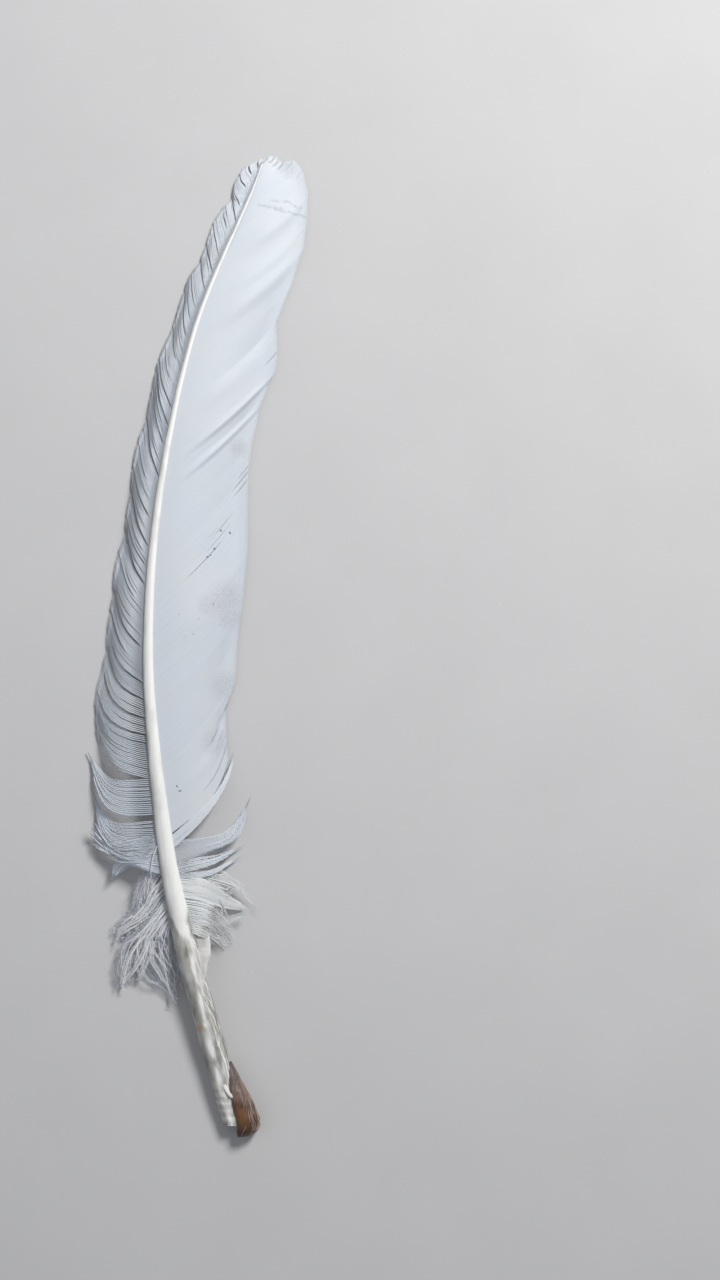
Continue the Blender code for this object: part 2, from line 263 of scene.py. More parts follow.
# How each of them is made up: the number of barbs, how far they spread at the tip, the share of
# the length at which the shortest ends, how much they bend, half the width of a barb where
# nothing narrows it, how high its crest stands, the width of a barb in pitches, the share of the
# length from which the barbs part, and how strongly they keep their directions.
MAKE_UP = {
    "horn_upper": (18, 0.5, 0.76, 0.08, 0.45, 0.14, 0.70, 1.0, 1.8),
    "horn_lower": (24, 0.6, 0.74, 0.10, 0.45, 0.14, 0.70, 1.0, 1.8),
    "frayed_upper": (12, 3.2, 0.86, 0.60, 0.42, 0.14, 0.80, 0.55, 1.8),
    "frayed_lower": (14, 3.2, 0.84, 0.70, 0.42, 0.14, 0.80, 0.55, 1.8),
    "hooked_horn": (13, 1.8, 0.84, 0.15, 0.70, 0.14, 1.00, 1.0, 1.8),
    "edge_lock": (8, 0.5, 0.75, 0.05, 0.50, 0.06, 1.25, 1.0, 1.1),
    "long_horn": (16, 0.6, 0.62, 0.15, 0.45, 0.12, 0.85, 1.0, 1.8),
    "short_horn": (8, 0.6, 0.72, 0.20, 0.42, 0.12, 0.90, 1.0, 1.8),
    "wisp": (5, 0.3, 0.85, 0.15, 0.32, 0.10, 1.00, 1.0, 1.8),
    "web": (14, 1.0, 0.88, 0.05, 0.60, 0.03, 1.15, 1.0, 1.6),
    "web_foot": (15, 5.2, 0.62, 0.50, 0.40, 0.10, 0.90, 0.30, 1.6),
    "strands": (11, 4.4, 0.60, 0.65, 0.30, 0.10, 0.90, 0.20, 1.6),
}
# Lines that the bundles of the down follow from the shaft to their tips, in x and y.
DOWN_LINES = [
    ((-11.0, -66.0), (-15.0, -69.0), (-17.5, -72.2), (-19.6, -79.0), (-20.3, -82.6), (-24.3, -84.9)),
    ((-10.8, -67.5), (-13.5, -69.5), (-15.5, -72.2), (-16.9, -75.6), (-18.4, -80.0), (-18.2, -84.4)),
    ((-10.5, -68.5), (-12.8, -70.8), (-16.2, -75.6), (-17.2, -79.0), (-15.6, -81.9), (-11.8, -82.2)),
    ((-9.4, -72.0), (-11.8, -76.9), (-10.2, -80.0), (-11.4, -83.0), (-15.2, -86.8), (-18.5, -89.0)),
    ((-8.4, -77.0), (-9.4, -81.7), (-12.8, -83.7), (-15.5, -86.4), (-20.0, -89.2), (-24.3, -90.2)),
    ((-10.4, -70.5), (-14.6, -75.5), (-17.9, -81.7), (-22.4, -84.3), (-25.7, -87.1), (-25.0, -89.5)),
    ((-9.0, -73.5), (-14.5, -79.0), (-18.1, -84.0), (-15.7, -89.4), (-16.2, -93.9), (-18.6, -96.9)),
    ((-7.6, -78.5), (-10.8, -83.0), (-13.5, -85.7), (-16.9, -88.8), (-20.3, -91.8), (-24.7, -94.0)),
    ((-8.6, -76.0), (-15.5, -86.4), (-21.9, -92.2), (-23.1, -98.5), (-22.6, -102.7), (-23.3, -105.7)),
    ((-6.8, -79.5), (-11.8, -85.7), (-14.8, -89.1), (-19.0, -95.0), (-21.3, -100.3), (-23.3, -105.7)),
    ((-7.8, -78.0), (-15.8, -87.4), (-15.1, -91.6), (-11.8, -96.9), (-10.2, -101.6), (-8.1, -106.8)),
    ((-8.0, -78.5), (-14.6, -86.0), (-17.7, -94.2), (-15.6, -100.6), (-10.8, -105.1), (-6.4, -109.6)),
    ((-6.6, -80.5), (-10.8, -87.4), (-11.2, -91.4), (-7.6, -98.8), (-7.5, -105.5), (-8.1, -112.5)),
    ((-5.6, -82.0), (-8.7, -87.4), (-7.7, -90.8), (-7.9, -94.6), (-6.4, -98.3), (-4.7, -102.6)),
    ((-7.4, -79.0), (-14.5, -88.5), (-16.2, -92.5), (-18.6, -95.9), (-19.6, -99.3), (-19.9, -103.7)),
    ((-7.0, -80.5), (-13.5, -89.1), (-14.8, -93.2), (-16.9, -96.9), (-17.2, -100.3), (-17.5, -103.0)),
    ((-7.2, -80.0), (-11.8, -84.4), (-14.5, -87.1), (-16.9, -91.2), (-18.6, -93.9), (-22.0, -95.9)),
    ((-6.3, -81.5), (-9.4, -85.7), (-12.0, -90.4), (-13.5, -95.9), (-12.1, -100.0), (-9.4, -106.0)),
    ((-9.6, -72.5), (-13.6, -78.0), (-18.2, -84.4), (-21.6, -86.4), (-23.0, -89.8), (-24.0, -92.5)),
    ((-5.0, -80.0), (-6.2, -84.0), (-7.0, -88.0), (-6.4, -92.0), (-5.6, -96.0), (-4.3, -101.0)),
    ((-7.5, -76.0), (-9.5, -82.0), (-9.8, -87.0), (-8.9, -91.0), (-9.9, -96.0), (-8.8, -103.0)),
    ((-8.0, -75.0), (-11.5, -82.0), (-13.2, -87.0), (-12.5, -91.0), (-14.0, -96.0), (-13.5, -101.0)),
    ((-10.8, -66.8), (-13.4, -71.0), (-14.5, -76.0), (-14.8, -81.0), (-16.6, -86.0), (-19.2, -92.0)),
    ((-9.6, -70.0), (-11.5, -75.0), (-12.4, -80.0), (-12.8, -85.0), (-15.4, -90.0), (-16.4, -96.0)),
]
# The frayed tips at the edge of the outer vane, from inside to the tip.
FRAYED_TIPS = [
    ((-26.2, -62.7), (-27.2, -62.1), (-28.3, -60.7), (-29.3, -59.3), (-31.0, -57.2), (-32.9, -54.4)),
    ((-25.8, -62.9), (-27.1, -62.3), (-28.3, -61.6), (-29.4, -60.7), (-31.2, -58.8), (-33.3, -56.0)),
    ((-24.6, -63.4), (-26.2, -63.2), (-27.8, -62.8), (-28.7, -62.5), (-30.2, -61.7), (-32.2, -61.0)),
    ((-25.7, -61.3), (-27.1, -60.2), (-28.2, -58.8), (-29.2, -57.4), (-30.3, -55.2), (-31.5, -52.8)),
]
# The arched strand that leaves the shaft above the down.
ARCHED_STRAND = [
    ((-9.6, -58.6), (-12.2, -61.6), (-13.5, -66.0), (-13.7, -70.8), (-12.8, -74.2), (-10.2, -77.4)),
]
# The single strands on the other side, which cross each other and leave holes between them.
WEB_STRANDS = [
    ((-6.3, -67.5), (-1.0, -68.6), (4.1, -70.3), (6.9, -69.5), (10.3, -71.5), (15.9, -75.7)),
    ((-6.3, -67.9), (-1.0, -69.0), (4.3, -70.0), (8.2, -70.5), (11.6, -73.0), (14.6, -76.2)),
    ((-6.0, -68.5), (0.0, -69.5), (5.8, -70.8), (10.9, -72.9), (14.6, -76.2), (19.7, -80.2)),
    ((-6.0, -68.9), (0.0, -69.9), (6.2, -71.4), (11.5, -73.9), (16.6, -78.0), (19.9, -80.7)),
    ((-5.8, -69.2), (0.0, -70.4), (4.1, -71.2), (9.4, -72.8), (13.2, -75.6), (14.2, -79.6)),
    ((3.0, -71.0), (5.8, -73.6), (8.6, -75.2), (9.8, -74.6), (10.4, -73.4), (10.2, -72.6)),
    ((15.7, -80.6), (14.2, -82.2), (12.4, -83.0), (10.6, -83.9), (9.2, -84.6), (7.6, -84.4)),
    ((6.4, -77.6), (7.2, -79.4), (7.7, -81.2), (7.9, -82.6), (8.3, -83.8), (8.9, -84.8)),
    ((-5.8, -66.5), (-3.6, -66.8), (-1.6, -66.0), (0.0, -66.5), (1.8, -68.4), (4.4, -69.6)),
    ((-5.8, -66.9), (-3.0, -67.6), (-0.9, -68.2), (0.6, -67.2), (2.4, -66.2), (3.8, -64.6)),
    ((-4.0, -77.0), (1.4, -77.0), (4.2, -79.4), (8.6, -84.4), (10.9, -86.4), (13.3, -89.5)),
    ((-3.7, -77.5), (2.0, -81.3), (4.4, -84.4), (6.6, -87.4), (8.9, -90.4), (9.8, -91.0)),
    ((-3.5, -78.0), (1.5, -82.5), (4.2, -87.1), (6.2, -89.8), (8.4, -91.6), (10.8, -92.3)),
    ((-3.0, -79.5), (1.2, -84.5), (4.0, -88.4), (6.4, -90.2), (7.9, -92.3), (9.4, -92.9)),
]
# Lines of the straight tips in which the down ends.
DOWN_TIPS = [
    ((-10.8, -88.0), (-10.6, -94.0), (-9.6, -99.0), (-8.8, -104.0), (-8.3, -109.0), (-8.1, -112.4)),
    ((-13.5, -90.0), (-13.8, -95.5), (-11.6, -100.0), (-9.2, -104.0), (-7.6, -107.6), (-6.3, -110.0)),
    ((-16.5, -88.0), (-20.0, -92.5), (-21.9, -97.0), (-22.6, -100.5), (-23.0, -103.5), (-23.6, -106.2)),
    ((-14.8, -90.0), (-17.4, -95.5), (-19.6, -99.0), (-21.4, -101.4), (-22.6, -103.6), (-23.7, -106.0)),
    ((-15.0, -82.0), (-18.5, -84.5), (-21.5, -86.4), (-23.8, -88.2), (-25.2, -90.0), (-26.2, -91.6)),
    ((-14.5, -92.0), (-15.8, -96.5), (-16.8, -99.0), (-17.5, -101.0), (-18.2, -102.6), (-18.8, -104.2)),
    ((-6.4, -86.0), (-6.6, -90.0), (-6.2, -94.0), (-5.5, -97.5), (-4.6, -100.5), (-3.8, -103.0)),
]
# How each kind of strand is made: the lines that it follows, its heights at the shaft and at the
# tip, its tone, how many strands each line carries, how far they spread at the shaft and at the
# tip, half their width, how much they curl, and the length and the number of the fine barbules
# on each.
STRAND_KINDS = {
    # The down's lower strands get a dark tone and the stronger ones on top a pale tone: painted shade
    # in the depth of the down and painted light on its top.
    "down": (DOWN_LINES, (4.8, 0.8), 0.25, 9, (0.9, 1.5), 0.085, 1.3, 3.0, 34),
    "down_top": (DOWN_LINES, (6.4, 2.2), 0.85, 4, (0.9, 1.7), 0.11, 1.4, 2.4, 34),
    "down_tip": (DOWN_TIPS, (5.6, 2.0), 1.0, 5, (1.1, 0.15), 0.11, 0.3, 1.5, 26),
    "frayed": (FRAYED_TIPS, (5.6, 4.6), 1.2, 3, (0.3, 0.45), 0.26, 0.15, 0.5, 10),
    "arch": (ARCHED_STRAND, (8.8, 11.5), 1.0, 1, (0.2, 0.2), 0.28, 0.1, 0.8, 26),
    "web": (WEB_STRANDS, (5.6, 2.8), 1.0, 4, (0.5, 1.2), 0.13, 0.5, 0.9, 22),
}
STRAND_RINGS = 31
STRAND_THICKNESS = 0.07  # how far a strand's surface is above and below its middle
STRAND_LOWEST = 0.25
BARBULE_WIDTH = 0.05
BARBULE_LOWEST = 0.05

# The section of the shaft above the quill, from its right side upwards: the angle and how far
# the surface is from the middle, where an ellipse has 1. It has a ridge right of the middle.
SHAFT_PROFILE = [
    (-90, 1.00), (-45, 1.05), (0, 1.00), (23, 1.07), (44, 1.15), (60, 1.09), (80, 1.02),
    (110, 0.90), (139, 0.91), (162, 0.98), (180, 1.00), (225, 1.05), (270, 1.00),
]
SHAFT_SIDES = 64
SHAFT_RINGS = 380
HOLLOW_DEPTH = 9.0  # of the open end of the quill
HOLLOW_SHARE = 0.78  # the width of the opening, as a share of the quill's
CUT_RAGGED = 0.4  # how uneven the quill's cut end is
DENT_DEPTH = 0.06  # of the dents in the quill, as a share of its radius
QUILL_FADES = (-104, -88)  # y between which the dents end
RIDGE_HEIGHT = 0.035  # of the ridges across the quill's end, as a share of its radius
RIDGE_TURN = 2.6  # radians for each millimetre along the quill, in its ridges
# The streak is partly the quill's white pith and partly a painted highlight.
# The bright streak along the quill: y, and where it lies across it, from -1 to 1.
STREAK = [
    (-146.0, -0.10), (-130.0, -0.10), (-120.0, -0.18), (-110.0, 0.05), (-104.0, 0.25), (-94.0, 0.35),
]
STREAK_WIDTH = 0.24
HORN_TONE = 0.20  # of the grey horn beside the streak
# The wedge in which the white of the shaft ends on the quill: y, and where its left and its right
# side lie across the quill, from -1 to 1.
WEDGE_LEFT = [(-94.5, 0.55), (-89.0, 0.10), (-84.0, -0.70), (-78.0, -1.60)]
WEDGE_RIGHT = [(-94.5, 0.62), (-84.0, 0.72), (-74.0, 1.40)]

FILM_SHREDS = 120
SHRED_RINGS = 9
SHRED_END = -146  # y that no shred of the film goes beyond
# The dry sheath that stands off the right side of the quill's upper end: y, and x at its edge.
SHEATH = [
    (-80.0, -3.0), (-82.0, -0.9), (-84.0, 1.2), (-86.0, 2.7), (-88.5, 3.7), (-91.0, 4.1),
    (-94.5, 4.1), (-96.8, 3.2), (-99.0, 3.0), (-101.0, 2.6),
]
SHEATH_RINGS = 60
SHEATH_STEPS = 12
SHEATH_SUNK = 2.4  # how much lower on the quill it starts at its upper end
SHEATH_FALL = 1.6  # how far it falls from the quill to its edge
SHEATH_THICKNESS = 0.15
# The white crease near the quill's end, in x, y and z.
QUILL_CREASE = [
    (8.3, -133.8, 6.6), (9.6, -136.2, 6.9), (11.0, -137.6, 6.6), (13.2, -138.6, 6.4),
    (14.6, -140.6, 6.4),
]
CREASE_RINGS = 15
CREASE_WIDTH = 0.62

# Where barbs leave the shaft: how far from its middle, as a share of its width, and how high
# above its middle on each side, as a share of its height.
ROOT_INSET = 0.22
ROOT_HEIGHTS = {INNER: 0.18, OUTER: -0.10}
REACH = 1.35  # how strongly a barb keeps its directions
LOCK_THICKNESS = 0.8  # how high the edge of a vane stands above the table
FLAT_FROM = 0.9  # the share of a barb's length after which it lies on the table
FALL = 1.7  # how long a barb stays high before it falls to the table
LEAST_HEIGHT = 0.12  # the lowest that the middle of a barb lies
BARB_BELLY = 0.10  # how far a barb's underside lies below its middle
# Soft folds across the inner vane: y where the fold leaves the shaft, its half width above its
# crest and below it, and its height.
FOLDS = [
    (53.2, 1.8, 1.3, 0.85),
    (45.6, 1.6, 1.2, 0.75),
    (66.0, 4.0, 3.0, 0.4),
    (92.0, 6.0, 4.0, 0.9),
    (101.0, 4.0, 3.0, 0.5),
    (116.0, 5.0, 4.0, 0.7),
    (-5.0, 9.0, 7.0, 0.6),
]

SLIT_REACH = 1.6  # how far from a slit its barbs move aside
SLIT_SHARE = 0.6  # the width of a slit at the shaft, of the width that it is given
SLIT_GROWTH = 2.1  # how much wider slits are at the tips of the barbs
SLIT_OPENING = 0.08  # the share of a barb's length over which a slit opens, to each side
SLIT_CLOSING = 0.1  # and over which it closes
STEP_REACH = 0.8  # how far from a slit its barbs rise or dip
SLIT_RISE = 0.8  # how high the upper side of a slit stands, in widths of the slit
SLIT_DIP = 0.6  # how low its lower side lies
HAIR_SLIT_LENGTH = 0.4  # of the finest slits, as a share of the barbs' length
CRIMP_TURN = 4.2  # radians for each millimetre along a barb, in its small waves
CRIMP_DRIFT = 0.35  # radians from one barb's waves to the next one's
SWAY_TURN = 7.0  # radians along a whole barb, in its long waves
SWAY_KNOTS = 40  # the places along the shaft between which the long waves drift
SWAY_DRIFT = 0.8  # radians from one of these places to the next
PITCH_CHANGE = (0.35, 0.65)  # the shares of a vane's length between which the pitch changes
OVERLAP_CHANGE = (-20, 30)  # y between which the overlap changes

# How the barbs of each vane lie:
# pitches, from one barb to the next along the shaft, at the vane's lower and upper end;
# segments, the steps along a barb;
# overlap, the width of a barb in pitches, at the vane's lower and upper end;
# crest, how high the middle of a barb stands above its sides;
# bulge, how high the middle of a lock stands;
# uneven, how much barbs differ in height;
# sway and crimp, the size of the long and of the small waves;
# hair_slits and hair_width, the number of the finest slits and their greatest width;
# root_gap, how much narrower barbs are beside the shaft;
# tone_spread and lock_spread, how much the tones of barbs and of locks differ;
# end_spread, how much barbs differ in length;
# blunt, the share of its length from which a barb narrows, and its width at the tip.
VANES = {
    INNER: SimpleNamespace(
        name="inner_vane", rows=INNER_ROWS, run=INNER_RUN, slits=INNER_SLITS,
        pitches=(0.45, 0.40), segments=16, overlap=(1.25, 1.25), crest=0.03, bulge=0.04,
        uneven=0.010, sway=0.0, crimp=0.0, hair_slits=24, hair_width=0.07, root_gap=0.0,
        tone_spread=0.05, lock_spread=0.0, end_spread=0.004, blunt=(0.965, 0.6),
    ),
    OUTER: SimpleNamespace(
        name="outer_vane", rows=OUTER_ROWS, run=OUTER_RUN, slits=OUTER_SLITS,
        pitches=(0.61, 0.50), segments=44, overlap=(0.74, 1.05), crest=0.16, bulge=0.45,
        uneven=0.050, sway=0.18, crimp=0.10, hair_slits=55, hair_width=0.26, root_gap=0.40,
        tone_spread=0.14, lock_spread=0.22, end_spread=0.010, blunt=(0.93, 0.45),
    ),
}

LOCK_RINGS = 41  # along each barb of a lock that stands apart
LOCK_CRIMP = 0.10  # how far the small waves in the locks that stand apart go aside
LOCK_BULGE = 0.3  # how high the middle of such a lock stands
LOCK_UNEVEN = 0.10  # how much its barbs differ in height
THINNEST_BARB = 0.14  # half the least width of its barbs, before they taper
PARTED = 0.62  # how much narrower barbs are where they part

# The skin, from its thin upper end to its rounded lower end: y, the thickness of the skin, and
# the angles around the quill's middle between which it lies, from the right side upwards.
SKIN = [
    (-127.0, 0.4, -10, 20),
    (-132.5, 2.4, -45, 48),
    (-138.0, 4.5, -58, 60),
    (-143.0, 5.4, -60, 62),
    (-146.5, 5.4, -60, 62),
    (-148.8, 4.9, -60, 62),
    (-150.0, 3.4, -50, 50),
]
SKIN_RINGS = 70
SKIN_STEPS = 40
SKIN_GAP = 0.10  # between the skin and the quill
SKIN_HAIRS = 170
SKIN_HAIR_RINGS = 9
SKIN_HAIR_END = -149.9  # y that no hair goes beyond

# Marks on the inner vane: dark and faint specks and soft smudges as x, y and radius, and the
# fault bars near the tip as the two ends and the half width of each stroke.
SPECKS = [
    (5.3, 29.3, 0.45), (3.2, 26.8, 0.5), (4.1, 27.5, 0.35), (7.2, 35.1, 0.38), (9.9, 34.2, 0.4),
    (-5.0, -44.2, 0.55), (-5.9, -42.6, 0.4),
]
FAINT_SPECKS = [
    (5.0, 12.2, 0.4), (-1.0, 3.4, 0.3), (-5.3, 9.5, 0.24), (-8.7, 5.8, 0.22), (-3.5, 2.1, 0.24),
    (0.6, 8.2, 0.26), (6.9, 5.6, 0.26),
]
SMUDGES = [
    (8.4, 13.7, 7.0), (10.4, 8.5, 5.0), (3.4, 12.2, 4.0), (8.0, -12.6, 5.5), (5.5, -30.0, 5.0),
    (27.6, 145.0, 3.0), (12.6, 60.0, 3.5),
]
FAULT_BARS = [
    ((22.4, 135.9), (27.8, 135.2), 0.75),
    ((27.8, 135.2), (31.6, 133.4), 0.60),
    ((18.7, 134.0), (23.6, 133.4), 0.60),
    ((23.6, 133.4), (26.7, 132.6), 0.90),
    ((26.7, 132.6), (32.8, 131.0), 0.60),
]
STAIN = (0.9, -116.5, 1.6)  # the rusty spot on the quill
WARM_PATCH = (13.2, -143.6, 4.0)  # the warmer part of the skin

# The colours of the barbs: shaded, lit and clouded, and whether they bear the vanes' marks.
BARB_COLOURS = {
    "vane_white": ((0.50, 0.55, 0.63), (0.67, 0.72, 0.78), (0.62, 0.65, 0.69), True),
    "web_white": ((0.60, 0.63, 0.66), (0.90, 0.92, 0.93), (0.80, 0.81, 0.81), False),
    # For the down, the shaded colour is painted shade in its depth and the lit one painted light on its
    # top.
    "down_white": ((0.40, 0.44, 0.52), (0.97, 0.97, 0.99), (0.80, 0.83, 0.88), False),
}
# Painted light: the colour towards which the vanes grow paler near the tip.
PAINTED_TIP_LIGHT = (0.82, 0.85, 0.89)
SMUDGE_GREY = (0.40, 0.41, 0.46)
BAR_GREY = (0.40, 0.42, 0.48)
SPECK_BLACK = (0.08, 0.07, 0.07)
HORN_COLOURS = ((0.16, 0.15, 0.12), (0.30, 0.29, 0.265))
SHAFT_COLOURS = ((0.91, 0.915, 0.89), (0.97, 0.97, 0.955))
RUST = (0.50, 0.25, 0.10)
CUT_BROWN = (0.10, 0.09, 0.08)
HOLLOW_BROWN = (0.10, 0.08, 0.06)
FILM_COLOURS = ((0.30, 0.285, 0.28), (0.92, 0.92, 0.91))
FILM_GRAIN = (0.52, 0.49, 0.47)
SKIN_COLOURS = ((0.085, 0.040, 0.020), (0.27, 0.18, 0.15))
SKIN_WARM = (0.34, 0.16, 0.07)
SKIN_DRY = (0.11, 0.09, 0.085)
SKIN_FIBRE = (0.46, 0.36, 0.32)
SKIN_HAIR = (0.44, 0.35, 0.31)
TABLE_COLOURS = ((0.59, 0.59, 0.60), (0.61, 0.61, 0.62))

# The lamps: name, place and size in metres, power and colour.
LAMPS = [
    ("key", (0.41, 0.52, 0.70), 0.26, 8.4, (1.0, 0.99, 0.97)),
    ("fill", (-0.7, -0.1, 0.8), 0.9, 1.4, (0.93, 0.96, 1.0)),
]
SKY_COLOUR = (0.92, 0.95, 1.0)
SKY_STRENGTH = 0.21
LENS = 85
SENSOR = 36
# The middle of the view in x and y, the height that it shows, and how high above the table that
# is measured.
VIEW_CENTRE = (49.6, 1.5)
VIEW_HEIGHT = 390.4
VIEW_LEVEL = 4.0


def keyed(table, y, column):
    """The value in a column of a table at y, on a straight line between two stations."""
    rows = sorted(table)
    return np.interp(y, [row[0] for row in rows], [row[column] for row in rows])


def smooth_keyed(table, y, column):
    """The same on a smooth curve through the stations."""
    at, value = np.array(sorted(table), float)[:, [0, column]].T
    slope = np.gradient(value, at)
    y = np.clip(y, at[0], at[-1])
    i = np.clip(np.searchsorted(at, y) - 1, 0, len(at) - 2)
    step = at[i + 1] - at[i]
    s = (y - at[i]) / step
    ends = (2 * s**3 - 3 * s**2 + 1) * value[i] + (3 * s**2 - 2 * s**3) * value[i + 1]
    bends = (s**3 - 2 * s**2 + s) * slope[i] + (s**3 - s**2) * slope[i + 1]
    return ends + bends * step


def smoothstep(low, high, value):
    """0 at low and 1 at high, also where low is the larger of the two."""
    share = np.clip((value - low) / (high - low), 0, 1)
    return share * share * (3 - 2 * share)


def shaft_at(y):
    """x, width, height and middle height of the shaft at y."""
    return tuple(smooth_keyed(SHAFT, y, column) for column in (1, 2, 3, 4))


def heading(side, degrees):
    """The level direction at an angle from straight up the feather, towards a side."""
    angle = np.radians(degrees)
    return np.stack((side * np.sin(angle), np.cos(angle)), -1)


def curve_points(start, end, start_way, end_way, t, reach):
    """Points of the curves that leave start along start_way and reach end along end_way."""
    pull = reach * np.linalg.norm(end - start, axis=-1, keepdims=True)
    t = t[..., None]
    u = 1 - t
    first, last = start + start_way * pull / 3, end - end_way * pull / 3
    return start * u**3 + first * 3 * u * u * t + last * 3 * u * t * t + end * t**3


def barb_root(side, y):
    """Where a barb leaves the shaft at y: x and y, and the height."""
    x, width, height, middle = shaft_at(y)
    return np.stack((x + side * ROOT_INSET * width, y), -1), middle + ROOT_HEIGHTS[side] * height


def fold_height(side, y, t):
    if side == OUTER:
        return 0.0
    rise = 0.0
    for at, above, below, height in FOLDS:
        width = np.where(y > at, above, below)
        rise = rise + height * np.exp(-(((y - at) / width) ** 2))
    return rise * smoothstep(0.08, 0.5, t) * (1 - 0.5 * smoothstep(0.8, 1, t))


def barb_height(side, y, t):
    """The height of a vane's upper surface, which falls from the shaft to the table."""
    _, root = barb_root(side, y)
    far = np.minimum(1, t / FLAT_FROM)
    fall = (root - LOCK_THICKNESS / 2) * (1 - far**FALL)
    return LOCK_THICKNESS + fall + fold_height(side, y, t)


def vane_plan(side, y, t):
    """x and y of the vane at share t along the barb that leaves the shaft at y."""
    rows, run = VANES[side].rows, VANES[side].run
    root, _ = barb_root(side, y)
    tip = np.stack((keyed(rows, y, 1), keyed(rows, y, 2)), -1)
    ways = [heading(side, keyed(run, y, column)) for column in (1, 2)]
    return curve_points(root, tip, *ways, t, REACH)


def new_piece(name, points, faces, material, node, tones, flat_map=True, **layers):
    """A piece that stands for a node, from points in millimetres with a tone at each point."""
    mesh = bpy.data.meshes.new(name)
    mesh.from_pydata((points * MM).tolist(), [], faces)
    for layer_name, values in {"tone": tones, **layers}.items():
        layer = mesh.attributes.new(layer_name, "FLOAT", "POINT")
        layer.data.foreach_set("value", np.asarray(values, np.float32).ravel())
    if flat_map:
        low, high = points.min(0)[:2], points.max(0)[:2]
        plan = (points[:, :2] - low) / (high - low)
        corners = np.empty(len(mesh.loops), np.int32)
        mesh.loops.foreach_get("vertex_index", corners)
        layer = mesh.uv_layers.new(name="OFBake")
        layer.uv.foreach_set("vector", plan[corners].astype(np.float32).ravel())
    mesh.shade_smooth()
    mesh.set_sharp_from_angle(angle=math.radians(70))
    mesh.materials.append(material)
    piece = bpy.data.objects.new(name, mesh)
    bpy.context.scene.collection.objects.link(piece)
    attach(piece, "root")
    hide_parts(node)
    return piece


def strips(lines, halves, crest, belly):
    """Closed strips along lines, with half their width on each side, a crest above and a belly
    below: the points and the faces."""
    count, rings = lines.shape[:2]
    up = np.array((0.0, 0.0, 1.0))
    corners = np.stack((lines - halves, lines + up * crest, lines + halves, lines - up * belly), 2)
    one = tube_faces(rings, 4) + end_faces(rings, 4)
    starts = np.arange(count)[:, None, None] * rings * 4
    faces = (np.array(one)[None] + starts).reshape(-1, 4)
    return corners.reshape(-1, 3), faces.tolist()


def tube_faces(rings, sides):
    """The faces between rings of points that follow each other."""
    faces = []
    for start in range(0, (rings - 1) * sides, sides):
        for k in range(sides):
            a, b = start + k, start + (k + 1) % sides
            faces.append((a, b, b + sides, a + sides))
    return faces


def end_faces(rings, sides):
    """The two faces that close such a tube."""
    last = (rings - 1) * sides
    return [tuple(range(sides))[::-1], tuple(last + k for k in range(sides))]


def joined(parts):
    """Several lots of points, faces and tones as one."""
    points, faces, tones, total = [], [], [], 0
    for some, those, tone in parts:
        points.append(some)
        faces += [tuple(total + k for k in face) for face in those]
        tones.append(np.broadcast_to(tone, len(some)))
        total += len(some)
    return np.concatenate(points), faces, np.concatenate(tones)


def strip_tones(tones, rings):
    """A tone for each point of strips, from one tone for each strip."""
    return (tones + np.zeros((1, rings, 4))).ravel()


def taper(t, start, end):
    """A strip's share of its full width, which narrows from start to its tip."""
    return 1 - (1 - end) * smoothstep(start, 1.0, t)


def open_slits(slits, y, t):
    """How far barbs move along the shaft and up at the slits between them."""
    aside, up = 0 * y * t, 0 * y * t
    for at, width, start, stop in slits:
        away = y - at
        opening = smoothstep(start - SLIT_OPENING, start + SLIT_OPENING, t)
        closing = smoothstep(stop - SLIT_CLOSING, stop + SLIT_CLOSING, t)
        opened = width * opening * (1 - closing)
        moved = SLIT_SHARE * opened * (1 + SLIT_GROWTH * t)
        aside += np.where(away > 0, 0.5, -0.5) * moved * np.exp(-np.abs(away) / SLIT_REACH)
        step = np.where(away > 0, SLIT_RISE, -SLIT_DIP)
        up += step * opened * np.exp(-np.abs(away) / STEP_REACH)
    return aside, up


def crimped(length, t, rng):
    """The small waves along barbs, which neighbours share."""
    count = len(length)
    drift = np.cumsum(rng.normal(0, CRIMP_DRIFT, count))[:, None]
    size = rng.uniform(0.6, 1.2, (count, 1))
    turn = length * t * CRIMP_TURN
    waves = np.sin(turn + drift) + 0.6 * np.sin(0.43 * turn + 2 * drift)
    return size * waves * np.sin(np.pi * np.minimum(1, t * 1.02))


def barb_places(vane, rng):
    """y where each barb of a vane leaves the shaft."""
    bottom, top = vane.rows[0][0], vane.rows[-1][0]
    places = [bottom + vane.pitches[0] / 2]
    while places[-1] < top:
        share = (places[-1] - bottom) / (top - bottom)
        pitch = np.interp(share, PITCH_CHANGE, vane.pitches)
        places.append(places[-1] + pitch * rng.uniform(0.9, 1.1))
    return np.array(places[:-1])[:, None]


def fine_slits(vane, rng):
    """The finest slits of a vane, at random places."""
    bottom, top = vane.rows[0][0], vane.rows[-1][0]
    slits = []
    for start in rng.uniform(0.0, 0.8, vane.hair_slits):
        at = rng.uniform(bottom, top)
        width = rng.uniform(0.5, 1) * vane.hair_width
        slits.append((at, width, start, start + HAIR_SLIT_LENGTH))
    return slits


